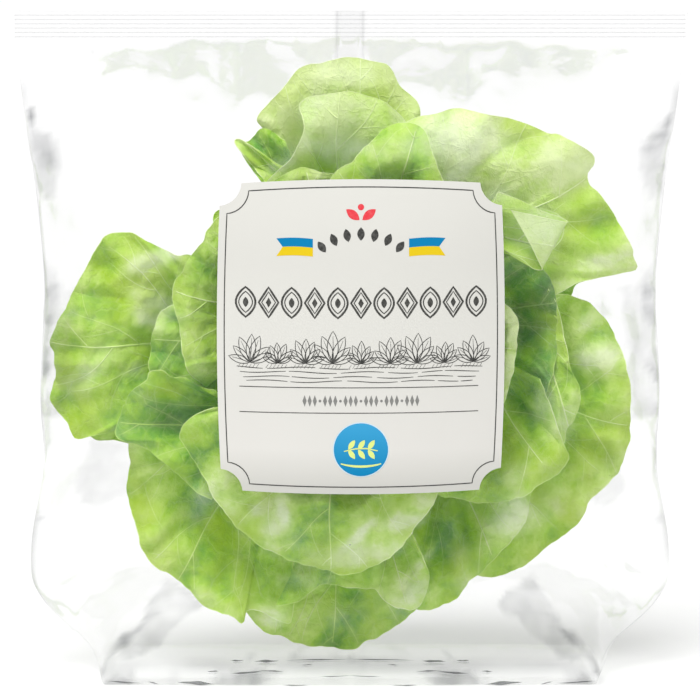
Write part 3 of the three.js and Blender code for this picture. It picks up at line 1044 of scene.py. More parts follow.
def leaf_piece(leaf, settings, materials, stack):
    """Builds one leaf: its blade, its ribs and the bead along its rim."""
    blade, depth = Blade(leaf), film_depth()
    veins = vein_network(
        blade.root, blade.tip, lambda point: blade.under(point)[0] is not None,
        settings.vein_spacing / MM, np.random.default_rng(leaf.seed))
    main, fine = blade.away_from(veins, (1, 2)), blade.away_from(veins, (3,))
    relief, tone = blade_relief(leaf, blade, settings.blister_height / MM, main, fine)

    # Folds, then depth in the bag
    flat, lift = blade.flat, np.zeros(blade.t.shape)
    for start, end, radius in leaf.folds:
        line = traced([start, end], leaf.depth[1])
        flat, lift, under_side = fold_over(flat, lift, line[0], line[1], radius)
        tone = np.where(under_side, tone + 0.5, tone)
        relief = np.where(under_side, -relief, relief)
    x, z = flat[..., 0], flat[..., 1]
    raised = smoothstep(blade.t / leaf.rise, 0.0, 1.0)
    layer = leaf.depth[0] + (leaf.depth[1] - leaf.depth[0]) * raised
    front, back = depth.at(x, z), depth.at(x, z, behind=True)
    y = front + (back - front) * layer - leaf.facing * relief - lift
    least = stack.behind(x, z)
    y = np.where(y < least, least + LEAF_SINK * (y - least), y)
    y = held_by_film(y, front, back)
    stack.add(x, y, z)
    points = np.stack([x, y, z], axis=2).reshape(-1, 3)
    tones = np.clip(tone, DEEPEST_TONE, PALEST_TONE)

    # The bead along the rim comes and goes
    strong = np.clip(0.55 + 0.7 * leaf.noise(blade.edge_run, 0, 16, 81), 0.1, 1.1)
    edge = points.reshape(LEAF_ROWS, LEAF_LENGTHS, 3)[:, -1]
    forwards = np.tile([0.0, -1.0, 0.0], (LEAF_ROWS, 1))
    lines = [(edge, forwards, RIM_BEAD * (0.35 + 0.6 * strong), tones[:, -1] + 0.36 * strong)]
    lines += [rib_line(leaf, blade, path, level, points, tones) for path, level in veins]

    # Blade and tubes as one mesh
    count = total = len(points)
    parts, all_tones = [points], [tones.ravel()]
    faces, slots = blade.quads.tolist(), [0] * len(blade.quads)
    for line, normals, widths, line_tones in lines:
        if len(line) < 4:
            continue
        all_tones.append(np.repeat(line_tones, TUBE_SIDES))
        tube_points, tube_faces = tube(line, normals, widths, RIB_FLATNESS, TUBE_SIDES)
        parts.append(tube_points)
        faces += [[i + total for i in face] for face in tube_faces]
        slots += [1] * len(tube_faces)
        total += len(tube_points)
    piece = make_piece(leaf.name, np.vstack(parts), faces, materials, slots)
    in_leaf = np.zeros((total, 3))
    in_leaf[:count, :2] = blade.corners * MM
    in_leaf[:count, 2] = 0.01 * leaf.seed
    store(piece, "in_leaf", in_leaf)
    store(piece, "tone", np.concatenate(all_tones))
    near_rib = np.exp(-(main / 1.3) ** 2) + 0.5 * np.exp(-(fine / 0.9) ** 2)
    near_rib += 0.7 * strong[:, None] * np.clip(1 - blade.from_rim / 1.8, 0, 1)
    near_rib = np.clip(near_rib, 0, 1).ravel()
    store(piece, "vein", np.pad(near_rib, (0, total - count), constant_values=1))
    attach(piece, "root")


def store(piece, name, values):
    """Keeps a number or a vector for each point of a mesh, for its material to read."""
    values = np.asarray(values)
    if values.ndim == 2:
        attribute = piece.data.attributes.new(name, "FLOAT_VECTOR", "POINT")
        attribute.data.foreach_set("vector", values.ravel())
    else:
        attribute = piece.data.attributes.new(name, "FLOAT", "POINT")
        attribute.data.foreach_set("value", values)


# The leaves that the picture shows, from the front of the head to the back
FRONT_LEAVES = [
    Leaf("leaf_lower_front", rim=[
        (214, 408), (199, 414), (186, 423), (180, 433), (183, 446), (203, 477), (222, 509),
        (237, 526), (252, 540), (273, 553), (298, 564), (330, 572), (344, 575), (362, 571),
        (383, 560), (401, 547), (416, 527), (427, 512), (436, 499), (446, 476)],
        root=(335, 385), depth=(0.7, 0.05), rise=0.62, tone=0.42, ruffle=(1.0, 5), curl=1.6,
        pleat=(2.8, 5), soft=1.3, seed=3, tip=(338, 572),
        bulges=[(280, 528, 26, 2.0, 0.25), (352, 545, 30, 2.4, 0.25), (318, 515, 12, -2.2, -0.3),
            (345, 518, 9, -1.0, -0.25), (215, 470, 14, 1.0, 0.25)]),
    Leaf("leaf_top_front", rim=[
        (322, 190), (334, 174), (344, 166), (353, 161), (362, 150), (372, 141), (388, 127),
        (403, 123), (416, 125), (426, 133), (432, 151), (438, 168), (445, 182), (452, 198)],
        root=(392, 262), depth=(0.5, 0.10), rise=0.8, tone=0.36, ruffle=(0.8, 2), curl=1.0,
        soft=0.7, seed=5, tip=(404, 123),
        bulges=[(392, 145, 24, 0.8, 0.0), (405, 186, 42, -1.2, -0.12)]),
    Leaf("leaf_label_top", rim=[
        (266, 188), (278, 179), (292, 171), (302, 168), (312, 169), (328, 173), (345, 179),
        (356, 187)],
        root=(318, 235), depth=(0.4, 0.07), rise=0.9, tone=0.55, ruffle=(0.6, 2), seed=7),
    Leaf("leaf_right_corner", rim=[
        (498, 192), (520, 200), (545, 212), (566, 220), (589, 241), (611, 261), (612, 262),
        (610.6, 262.3), (575, 266), (538, 270), (522, 259), (505, 251)],
        root=(470, 232), depth=(0.3, 0.13), rise=0.7, tone=0.5, ruffle=(0.2, 2), pleat=(0.4, 2),
        curl=0.3, soft=0.2, seed=9, tip=(552, 244),
        folds=[((565, 218), (538, 268), 1.5)]),
    Leaf("leaf_right_corner_edge", rim=[
        (540, 208), (552, 212), (560, 216), (564, 226), (562, 238), (555, 247), (546, 256)],
        root=(522, 234), depth=(0.3, 0.2), rise=0.8, tone=0.45, ruffle=(0.2, 2), pleat=(0.3, 2),
        curl=0.8, soft=0.2, seed=10),
    Leaf("leaf_right_sliver", rim=[
        (500, 300), (507, 305), (513, 312), (518, 322), (517, 340), (514, 365), (506, 397),
        (500, 405)],
        root=(478, 345), depth=(0.4, 0.08), rise=0.8, tone=0.7, ruffle=(0.5, 2), seed=11),
    Leaf("leaf_lower_right_inner", rim=[
        (540, 380), (550, 405), (557, 425), (564, 445), (569, 456), (566, 464), (557, 474),
        (535, 489), (524, 496), (503, 501), (481, 506), (466, 503), (444, 499), (428, 490)],
        root=(462, 352), depth=(0.6, 0.09), rise=1.15, tone=0.38, ruffle=(1.2, 3), curl=1.4,
        seed=13, tip=(548, 455),
        bulges=[(528, 405, 30, -6.0, -0.22), (492, 486, 26, 1.5, 0.15), (545, 465, 18, 1.5, 0.1)]),
    Leaf("leaf_left_lobe", rim=[
        (216, 391), (201, 387), (186, 377), (172, 376), (163, 369), (150, 371), (146, 380),
        (132, 390), (126, 402), (121, 414), (116, 431), (119, 439), (134, 444), (152, 453),
        (170, 467), (190, 487), (212, 500)],
        root=(262, 432), depth=(0.5, 0.15), rise=0.95, tone=0.12, ruffle=(1.3, 5), seed=15,
        tip=(122, 425),
        bulges=[(168, 420, 14, -3.0, -0.25), (140, 405, 14, 1.0, 0.1), (160, 462, 12, 1.5, 0.2)]),
    Leaf("leaf_left_upper", rim=[
        (219, 218), (208, 229), (204, 240), (195, 250), (189, 258), (183, 270), (175, 282),
        (173, 295), (174, 305), (178, 320), (181, 338), (184, 356), (191, 375), (206, 390)],
        root=(290, 318), depth=(0.5, 0.14), rise=0.9, tone=0.34, ruffle=(1.2, 3), seed=17,
        bulges=[(198, 300, 20, 0.6, 0.14)]),
    Leaf("leaf_left_middle", rim=[
        (186, 300), (166, 308), (158, 318), (152, 338), (150, 352), (149, 366), (158, 384),
        (176, 398)],
        root=(262, 352), depth=(0.55, 0.2), rise=0.95, tone=0.24, ruffle=(1.0, 3), seed=19),
    # A low tone and a dark bulge paint the shade in this hollow
    Leaf("leaf_right_hollow", rim=[
        (505, 254), (518, 257), (532, 262), (546, 274), (555, 291), (557, 310), (557, 340),
        (556, 362), (550, 386), (544, 402)],
        root=(462, 332), depth=(0.6, 0.12), rise=1.25, tone=-0.2, ruffle=(0.8, 3), curl=2.2,
        seed=23,
        bulges=[(524, 330, 26, -6.0, -0.3)]),
    Leaf("leaf_right_outer_strip", rim=[
        (549, 290), (557, 306), (565, 340), (571, 369), (579, 386), (580, 404), (574, 421),
        (567, 432), (564, 444), (556, 432), (548, 412), (544, 392)],
        root=(536, 335), depth=(0.3, 0.12), rise=0.9, tone=0.5, ruffle=(0.7, 3), curl=1.6, seed=21,
        tip=(572, 420),
        bulges=[(572, 402, 12, 1.2, 0.2)]),
    Leaf("leaf_bottom_middle", rim=[
        (276, 604), (294, 602), (304, 598), (313, 592), (321, 585), (330, 584), (345, 587),
        (362, 588), (375, 589), (383, 599), (394, 606), (409, 610), (421, 603), (429, 582),
        (425, 562), (414, 535)],
        root=(360, 452), depth=(0.7, 0.2), tone=0.42, ruffle=(1.0, 4), seed=25,
        bulges=[(400, 575, 18, 1.2, 0.2)]),
    Leaf("leaf_lower_right", rim=[
        (545, 470), (533, 491), (529, 510), (520, 530), (507, 545), (490, 562), (481, 575),
        (470, 582), (466, 588), (457, 599), (440, 607), (427, 610), (414, 609), (402, 600)],
        root=(432, 430), depth=(0.8, 0.24), tone=0.42, ruffle=(1.3, 4), curl=1.4, seed=27,
        bulges=[(452, 535, 20, -5.0, -0.5), (490, 525, 18, 1.8, 0.2), (435, 585, 16, 1.0, 0.15)]),
    Leaf("leaf_lower_left", rim=[
        (128, 440), (130, 465), (126, 490), (129, 509), (138, 532), (141, 547), (153, 564),
        (172, 576), (184, 585), (203, 604), (220, 612), (233, 615), (243, 622), (247, 612),
        (262, 613), (273, 619), (288, 625), (292, 618), (294, 602), (296, 580)],
        root=(285, 400), depth=(0.8, 0.27), rise=0.95, tone=0.34, ruffle=(1.4, 5), seed=29,
        tip=(190, 588),
        bulges=[(195, 505, 20, -4.0, -0.15), (165, 485, 18, 2.0, 0.15), (150, 530, 20, 1.2, 0.15),
            (215, 565, 34, -1.5, -0.32), (268, 608, 16, 1.6, 0.25)]),
    Leaf("leaf_top_middle", rim=[
        (264, 190), (268, 180), (282, 167), (292, 157), (298, 145), (304, 130), (303, 118),
        (299, 106), (307, 98), (318, 95), (340, 92), (351, 91), (365, 95), (383, 101), (395, 110),
        (404, 120), (412, 140)],
        root=(345, 265), depth=(0.7, 0.24), tone=0.74, ruffle=(1.0, 4), pleat=(0.8, 3), curl=-1.0,
        soft=0.3, seed=31, tip=(352, 91),
        bulges=[(330, 120, 26, 1.2, 0.05), (300, 140, 16, 1.4, 0.25), (350, 150, 34, -0.3, 0.25)]),
    Leaf("leaf_top_corner_flap", rim=[
        (262, 190), (266, 182), (256, 170), (245, 156), (235, 142), (241, 139), (258, 150),
        (274, 162), (288, 168)],
        root=(296, 190), depth=(0.4, 0.3), tone=0.62, ruffle=(0.5, 2), curl=1.0, seed=33),
    Leaf("leaf_upper_right", rim=[
        (396, 150), (401, 130), (411, 120), (430, 115), (457, 109), (475, 112), (500, 117),
        (526, 124), (548, 134), (559, 135), (576, 143), (592, 154), (594, 164), (588, 174),
        (590, 185), (598, 192), (609, 207), (622, 229), (633, 249), (633, 257), (637, 269),
        (620, 274), (590, 280), (576, 283), (557, 293), (538, 296)],
        root=(436, 262), depth=(0.5, 0.25), rise=0.95, tone=0.7, ruffle=(1.5, 6), soft=0.5, seed=35,
        tip=(592, 158),
        bulges=[(455, 155, 40, 0.5, 0.3), (520, 150, 12, -1.6, -0.2), (560, 160, 18, 1.6, 0.2),
            (525, 190, 46, 0.4, 0.0), (602, 228, 24, -1.5, -0.46)]),
    Leaf("leaf_top_corner_back", rim=[
        (285, 140), (264, 129), (250, 141), (240, 143), (246, 160), (262, 182), (280, 196)],
        root=(310, 205), depth=(0.6, 0.42), tone=0.2, ruffle=(0.5, 2), seed=37),
    Leaf("leaf_right_outer", rim=[
        (530, 292), (557, 294), (570, 296), (585, 301), (598, 311), (609, 325), (620, 347),
        (625, 362), (630, 386), (630, 410), (630, 438), (624, 458), (618, 475), (600, 490),
        (589, 501), (583, 514), (576, 525), (566, 535), (544, 551), (524, 566), (500, 575),
        (481, 576), (466, 566)],
        root=(452, 385), depth=(0.85, 0.38), rise=0.95, tone=0.5, ruffle=(1.5, 6), curl=1.4,
        seed=39, tip=(626, 440),
        bulges=[(600, 360, 20, 2.0, 0.3), (575, 380, 14, -2.5, -0.2), (585, 440, 20, -1.5, -0.1),
            (555, 505, 20, 1.5, 0.12), (612, 440, 12, 1.2, 0.2)]),
    Leaf("leaf_top_back", rim=[
        (296, 172), (284, 160), (275, 149), (267, 133), (257, 119), (268, 104), (283, 88),
        (297, 70), (309, 64), (320, 63), (332, 60), (349, 57), (373, 61), (386, 64), (393, 72),
        (400, 86), (410, 95), (418, 103), (420, 116), (416, 140)],
        root=(348, 250), depth=(0.85, 0.42), rise=0.95, tone=0.84, ruffle=(1.2, 4), pleat=(0.8, 3),
        curl=-0.6, soft=0.3, seed=41, tip=(345, 60),
        bulges=[(290, 110, 22, 1.0, 0.12), (352, 75, 22, 0.8, 0.1), (392, 100, 26, 0.6, 0.25),
            (275, 138, 26, 0.6, 0.4)]),
    Leaf("leaf_left_outer", rim=[
        (208, 262), (190, 255), (176, 254), (154, 245), (140, 237), (131, 233), (119, 233),
        (104, 237), (96, 249), (84, 270), (75, 288), (66, 306), (55, 330), (50, 343), (54, 353),
        (56, 372), (53, 387), (50, 400), (56, 410), (68, 425), (76, 439), (94, 434), (118, 430)],
        root=(238, 350), depth=(0.8, 0.36), rise=0.68, tone=0.34, ruffle=(1.5, 7), curl=1.0,
        seed=43, tip=(60, 352),
        bulges=[(105, 262, 14, -2.5, -0.3), (140, 262, 18, 1.5, 0.2), (142, 298, 24, 1.6, 0.5),
            (100, 330, 24, 1.2, 0.12), (70, 400, 14, -1.5, -0.2), (100, 374, 26, 1.2, 0.3)]),
    Leaf("leaf_bottom_back", rim=[
        (232, 588), (249, 613), (262, 629), (283, 637), (302, 644), (325, 648), (340, 649),
        (357, 649), (366, 642), (379, 637), (400, 624), (412, 614), (424, 596), (430, 570)],
        root=(335, 440), depth=(0.9, 0.5), tone=0.3, seed=45),
    Leaf("leaf_left_shadow", rim=[
        (70, 415), (84, 430), (97, 438), (107, 441), (119, 442), (134, 447), (150, 460)],
        root=(235, 372), depth=(0.9, 0.62), tone=0.25, ruffle=(0.8, 3), seed=47),
    Leaf("leaf_right_shadow", rim=[
        (600, 268), (590, 279), (577, 284), (569, 297), (556, 306)],
        root=(470, 270), depth=(0.9, 0.6), tone=0.25, ruffle=(0.5, 2), seed=49),
]


HEAD_CENTRE = np.array([-1.0, 122.0])


def hidden_leaf(name, bearing, reach, spread, **settings):
    """A leaf that the label or the head hides, out from the middle at a bearing in degrees."""
    rng = np.random.default_rng(settings["seed"])
    shares = np.linspace(-1, 1, 11)
    angles = np.radians(bearing + spread * shares)
    radii = reach * (1 - 0.35 * shares ** 4) * (1 + rng.uniform(-0.05, 0.05, len(shares)))
    rim = HEAD_CENTRE + np.column_stack([radii * np.cos(angles), radii * np.sin(angles)])
    root = HEAD_CENTRE - 0.12 * reach * np.array([math.cos(angles[5]), math.sin(angles[5])])
    return Leaf(name, None, plan=(rim, root), **settings)


HEART_LEAVES = [
    hidden_leaf(f"heart_leaf_{k}", 40 + 137 * k, 34 + 2.2 * k, 62, depth=(0.75, 0.06 + 0.035 * k),
                rise=0.75, tone=0.75, ruffle=(1.6, 4), soft=0.7, curl=-1.5, seed=60 + k)
    for k in range(6)]
WRAPPER_LEAVES = [
    hidden_leaf(f"wrapper_leaf_{k}", bearing, reach, spread, depth=(0.96, 0.6), rise=1.2,
                tone=0.4, ruffle=(1.6, 5), ribs=1.9, facing=-1, curl=0.8, seed=80 + k)
    for k, (bearing, reach, spread) in enumerate([
        (92, 62, 46), (-95, 80, 46), (22, 68, 46), (184, 70, 46), (-38, 76, 46),
        (-148, 76, 46), (131, 67, 24)])]


# ---- The label's form ----

LABEL_CENTRE = (LABEL_LOW + LABEL_HIGH)[[0, 2]] / 2
LABEL_BOW = 1.5
LABEL_SPAN = (LABEL_HIGH - LABEL_LOW)[[0, 2]] - 2 * LABEL_BOW
LABEL_BOW_TOP = 2.4
LABEL_BOW_FOOT = 1.0
LABEL_NOTCH = 7.6
LABEL_OFF_FILM = 0.35
PAPER_THICKNESS = 0.25
INK_HEIGHT = 0.04


def on_label(a, b, height=0.0):
    """Points above the label's face, from distances right of and above its centre."""
    x, z = LABEL_CENTRE[0] + np.asarray(a, float), LABEL_CENTRE[1] + np.asarray(b, float)
    y = film_depth().at(x, z) - LABEL_OFF_FILM - PAPER_THICKNESS - height
    return np.stack([x, y, z], axis=-1)


def bowed(a, b, half_a, half_b):
    """Bends the straight sides of a label outline outwards."""
    rise = np.where(np.asarray(b) > 0, LABEL_BOW_TOP, LABEL_BOW_FOOT)
    across = np.maximum(0, 1 - (np.asarray(a) / half_a) ** 2)
    return (a + LABEL_BOW * (a / half_a) * (1 - (b / half_b) ** 2),
            b + rise * (b / half_b) * across)


def label_grid(rows=64, notch_rows=16, columns=84):
    """Flat points of the label, row by row, which leave out the hollow corners."""
    half_a, half_b = LABEL_SPAN / 2
    drop = LABEL_NOTCH * np.sin(np.linspace(0, math.pi / 2, notch_rows))
    sides = np.linspace(-half_b + LABEL_NOTCH, half_b - LABEL_NOTCH, rows)[1:-1]
    lines = np.concatenate([-half_b + drop, sides, half_b - drop[::-1]])
    out = []
    for b in lines:
        from_end = min(half_b - abs(b), LABEL_NOTCH)
        half = half_a - math.sqrt(max(LABEL_NOTCH ** 2 - from_end ** 2, 0))
        a = np.linspace(-half, half, columns)
        out.append(np.column_stack(bowed(a, np.full(columns, b), half_a, half_b)))
    return np.stack(out)


# ---- Print: plain ornaments, in millimetres right of and above the label's centre ----

INK_STEP = 2.0  # longest flat stretch, so that the ink follows the curved paper


class Ink:
    """The shapes of one ink, gathered into one mesh."""

    def __init__(self, layer=1):
        self.height = INK_HEIGHT * layer
        self.points, self.faces = [], []

    def take(self, flat, faces):
        start = len(self.points)
        self.points += [tuple(point) for point in flat]
        self.faces += [[i + start for i in face] for face in faces]

    def line(self, points, width, closed=False, taper=0.0):
        """A drawn line, thinner towards its ends by the share `taper`."""
        points = [np.array(point, float) for point in points]
        if closed:
            points.append(points[0])
        path = [points[0]]
        for start, end in zip(points, points[1:]):
            steps = max(1, math.ceil(np.linalg.norm(end - start) / INK_STEP))
            path += [start + (end - start) * k / steps for k in range(1, steps + 1)]
        path = np.array(path)
        along = np.gradient(path, axis=0)
        if closed:
            along[0] = along[-1] = path[1] - path[-2]
        along = unit_rows(along)
        across = np.column_stack([-along[:, 1], along[:, 0]])
        share = np.sin(math.pi * np.linspace(0.02, 0.98, len(path))) ** 0.6
        half = width / 2 * (1 - taper + taper * share)[:, None]
        flat = np.vstack([path + across * half, path - across * half])
        count = len(path)
        self.take(flat, [[k, k + count, k + count + 1, k + 1] for k in range(count - 1)])

    def patch(self, outline):
        """A filled shape. Points inside it let it bend with the paper."""
        outline = np.array(outline, float)
        low, high = outline.min(0), outline.max(0)
        inside = [
            (a, b) for a in np.arange(low[0] + 1, high[0], INK_STEP)
            for b in np.arange(low[1] + 1, high[1], INK_STEP)
            if within(outline, a, b) and np.linalg.norm(outline - (a, b), axis=1).min() > 0.5]
        corners = [Vector(p) for p in outline] + [Vector(p) for p in inside]
        edges = [(k, (k + 1) % len(outline)) for k in range(len(outline))]
        flat, _, faces, *_ = geometry.delaunay_2d_cdt(corners, edges, [], 1, 1e-5)
        self.take(flat, [list(face) for face in faces])

    def piece(self, name, material):
        a, b = np.array(self.points).T
        surface = on_label(a, b, self.height)
        printed = make_piece(name, surface, self.faces, [material], smooth=False)
        face_front(printed)
        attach(printed, "root")


def within(outline, a, b):
    """Whether a point lies inside a closed outline."""
    odd = False
    for (a1, b1), (a2, b2) in zip(outline, np.roll(outline, -1, axis=0)):
        if (b1 > b) != (b2 > b) and a < (a2 - a1) * (b - b1) / (b2 - b1) + a1:
            odd = not odd
    return odd


def placed(shape, centre, degrees=0.0, scale=1.0):
    """A flat shape, turned and moved."""
    return [np.array(centre) + scale * turned(np.array(point), degrees) for point in shape]


def circle(radius, count=48):
    return [(radius * math.cos(k * 2 * math.pi / count), radius * math.sin(k * 2 * math.pi / count))
            for k in range(count)]


def leaf_shape(length, width, count=9):
    """A pointed leaf that stands on its stalk end at (0, 0)."""
    side = [(width / 2 * math.sin(math.pi * k / count) ** 0.85, length * k / count)
            for k in range(count + 1)]
    return side + [(-a, b) for a, b in side[-2:0:-1]]


def lozenge(length, width):
    return [(0, 0), (width / 2, length / 2), (0, length), (-width / 2, length / 2)]


def border_line(inset):
    """The label's outline, drawn further in, with its hollow corners."""
    half_a, half_b = LABEL_SPAN / 2 - inset
    outline = []
    for side_a, side_b in ((1, 1), (-1, 1), (-1, -1), (1, -1)):
        corner = [(half_a - LABEL_NOTCH * math.cos(u), half_b - LABEL_NOTCH * math.sin(u))
                  for u in np.radians(np.linspace(90, 0, 9))]
        if side_a * side_b < 0:
            corner = corner[::-1]
        outline += [(side_a * a, side_b * b) for a, b in corner]
    path = []
    for start, end in zip(outline, outline[1:] + outline[:1]):
        steps = max(1, round(math.dist(start, end) / 4))
        path += [np.array(start) + (np.array(end) - start) * k / steps for k in range(steps)]
    a, b = np.array(path).T
    return list(zip(*bowed(a, b, half_a, half_b)))


# ---- Operators ----

def size_property(name, description, size, smallest=0.0):
    """A length that the sidebar shows, given in millimetres."""
    return bpy.props.FloatProperty(
        name=name, description=description, default=size * MM, min=smallest * MM, unit="LENGTH")


def colour_property(name, description, code):
    """A colour that the sidebar shows, given as an sRGB hex code."""
    return bpy.props.FloatVectorProperty(
        name=name, description=description, default=linear(code), subtype="COLOR", size=3)


class LettucePackSettings(bpy.types.PropertyGroup):
    """Sizes and colours of the pack that can be changed."""

    vein_spacing: size_property("Rib spacing", "Distance between side ribs of a leaf", 17, 4)
    blister_height: size_property(
        "Blister height", "How far the blade swells between its ribs", 1.0)
    crumple_height: size_property("Crumple height", "Height of the creases in the film", 1.0)
    film_haze_share: bpy.props.FloatProperty(
        name="Film haze", description="Share of the film that is milky",
        default=0.008, min=0, max=1, subtype="FACTOR")
    # The haze colour also paints the sheen on the film
    film_haze: colour_property("Haze", "Colour of the film's haze", "#F4F6F8")
    # Painted shade: the colour of the deepest hollows, which only painted low tones reach
    leaf_hollow: colour_property("Hollow leaf", "Leaf colour in the deepest hollows", "#4C8732")
    leaf_young: colour_property(
        "Young leaf", "Strong yellow-green of the youngest growth", "#B3D31E")
    leaf_deep: colour_property("Deep leaf", "Leaf colour in deep places", "#74B040")
    leaf_green: colour_property("Green leaf", "Usual leaf colour", "#AFDA4B")
    leaf_light: colour_property("Light leaf", "Colour of lighter leaves", "#D2EF84")
    leaf_pale: colour_property("Pale leaf", "Colour near ribs and in the heart", "#ECFABE")
    leaf_vein: colour_property("Rib", "Colour of the leaf ribs", "#E4F3AE")
    leaf_through: colour_property(
        "Light through leaf", "Tint of light that has passed through a leaf", "#F4FF9A")
    stem_side: colour_property("Stem side", "Pale green of the stem above its cut", "#DCEBAE")
    stem_flesh: colour_property("Stem", "Colour of the cut stem", "#E9E6C8")
    stem_stain: colour_property("Stem stain", "Colour of the rusty cut", "#C99B6B")
    # Painted shade: the paper's colours by height, darker at the top and the foot
    paper_foot: colour_property("Paper foot", "Paper colour at the foot of the label", "#D2D1CB")
    paper_light: colour_property(
        "Paper", "Lightest colour of the label paper, above its foot", "#E1DFDA")
    paper_shade: colour_property("Paper middle", "Paper colour half way up the label", "#DAD9D3")
    paper_top: colour_property("Paper top", "Paper colour at the top of the label", "#D2D1CB")


def settings_of(context):
    return context.scene.lettuce_pack


class LETTUCEPACK_OT_film(bpy.types.Operator):
    """Build the clear film bag with its creases"""

    bl_idname = "lettuce_pack.film"
    bl_label = "Film bag"

    def execute(self, context):
        settings = settings_of(context)
        film_depth()
        bag = FILM_DEPTH["bag"]
        points = mesh_points(bag.data)
        normals = np.zeros(len(points) * 3)
        bag.data.vertices.foreach_get("normal", normals)
        normals = normals.reshape(-1, 3)
        points += normals * self.creases(points, settings.crumple_height / MM)[:, None]
        points[:, 2] = np.clip(points[:, 2], FILM_OFF_FLOOR, PACK_HEIGHT)
        bag.data.polygons.foreach_set("use_smooth", np.ones(len(bag.data.polygons), bool))
        bag.data.materials.append(film_material(settings))
        move_points(bag, points)
        x, y, z = points.T
        store(bag, "gather", self.gathers(x, y, z))
        store(bag, "veil", self.veils(x, y, z))
        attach(bag, "root")
        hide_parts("bag")
        self.base_crumples()
        self.weld_ribs(bag)
        return {"FINISHED"}

    @staticmethod
    def gathers(x, y, z):
        """Gather and painted shade of the film, in the folds that show grey and along its sides."""
        front = smoothstep(-y, 0.1, 1.5)
        uneven = 1 + 0.7 * cloud(x, z, 12, 31) + 0.4 * cloud(x, z, 4.5, 32)
        ragged = GATHER_RAGGEDNESS * (cloud(x, z, 7, 35) + 0.6 * cloud(x, z, 3, 36))
        gather = np.zeros(len(x))
        for pixels, strength in GATHERS:
            for outline in (pixels, [(PICTURE_SIZE - a, b) for a, b in pixels]):
                inside = inside_by(traced(outline, 0.0), x, z) + ragged
                gather += strength * smoothstep(inside, -GATHER_SOFTNESS, GATHER_SOFTNESS)
        gather *= np.clip(uneven, 0.4, 1.7) * front
        # Painted shade: the film greys along its side edges, where it is seen edge-on
        side = (1 - smoothstep(np.abs(y), 0.2, 1.4)) * (1 - smoothstep(z, 216, 224))
        gather += SIDE_EDGE_SHADE * side * np.clip(0.6 + cloud(x, z, 22, 37), 0, 1.2)
        fin = (y > 0) * (1 - smoothstep(np.abs(x), FIN_HALF_WIDTH, FIN_HALF_WIDTH + 0.8))
        fin_edge = np.exp(-((np.abs(x) - FIN_HALF_WIDTH) / 0.7) ** 2) * (y > 0)
        gather += (FIN_GATHER * fin + FIN_EDGE_GATHER * fin_edge) * smoothstep(z, 2, 8)
        return np.clip(gather, 0, 1)

    @staticmethod
    def veils(x, y, z):
        """Painted sheen of the film, where it is stretched over a leaf or lies against one."""
        uneven = 0.75 + 0.8 * cloud(x, z, 13, 33) + 0.5 * cloud(x, z, 5, 34)
        veil = FILM_SHEEN * pale_at(x, z, 0.0)
        gap = LEAF_STACK["all"].face_at(x, z) - y if LEAF_STACK else np.full(len(x), 9.0)
        touch = 1 - smoothstep(gap, 1.0, 3.2)
        veil += TOUCHING_SHEEN * touch * smoothstep(cloud(x, z, 10, 38), -0.1, 0.5)
        veil += NEAR_SHEEN * (1 - smoothstep(gap, 3, 30))
        veil *= np.clip(uneven, 0.1, 1.5) * smoothstep(-y, 0.2, 3)
        return STRONGEST_SHEEN * (1 - np.exp(-veil / STRONGEST_SHEEN))

    @staticmethod
    def base_crumples():
        """The tight crumples of the base, as thin closed slivers of gathered film."""
        points, faces, stretches = [], [], 17
        share = np.linspace(0, 1, stretches)
        forwards = np.tile([0.0, -1.0, 0.0], (stretches, 1))
        for start, end, thick in BASE_CRUMPLES:
            for mirror in (False, True):
                line = np.array(start) + (np.array(end) - start) * share[:, None]
                line[:, 1] += 0.16 * np.sin(7 * share + line[0, 0])
                if mirror:
                    line[:, 0] = PICTURE_SIZE - line[:, 0]
                path = on_base(line, 0.25 + thick / 2)
                lens = np.sin(math.pi * np.linspace(0.01, 0.99, stretches)) ** 1.3
                lens *= 1 + 0.2 * np.sin(11 * share + line[0, 0])
                sliver, sliver_faces = tube(path, forwards, thick * lens, 1.0, 6)
                faces += [[i + len(points) for i in face] for face in sliver_faces]
                points += sliver.tolist()
        crumples = make_piece("film_base_crumples", points, faces, [gathered_film_material()])
        recalculate(crumples)
        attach(crumples, "root")

    @staticmethod
    def weld_ribs(bag):
        """Fine ribs pressed across the top weld, repeated by geometry nodes."""
        count, step, low = 6, 1.6, PACK_HEIGHT - 9.6
        half = film_depth().at(0.0, low + 2) * -1 + 0.14
        reach, stretches = BAG_HIGH[0] - 1.2, 60
        path = np.zeros((stretches, 3))
        path[:, 0] = np.linspace(-reach, reach, stretches)
        upwards = np.tile([0.0, 0.0, 1.0], (stretches, 1))
        points, faces = tube(path, upwards, np.full(stretches, 2 * half), 0.3, 8)
        rib = make_piece("weld_rib_source", points, faces, [])
        recalculate(rib)
        ribs = add_object("film_weld_ribs", bpy.data.meshes.new("film_weld_ribs"))
        tree = repeat_tree("weld_rib_rows")
        set_inputs(ribs, tree, {
            "Even": rib, "Odd": rib, "Count": count, "Ink": bag.data.materials[0],
            "Step": (0.0, 0.0, step * MM)})
        settle(ribs)
        placed_points = mesh_points(ribs.data) + (0, 0, low)
        move_points(ribs, placed_points)
        store(ribs, "gather", np.full(len(placed_points), WELD_GATHER))
        bpy.data.objects.remove(rib)
        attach(ribs, "root")

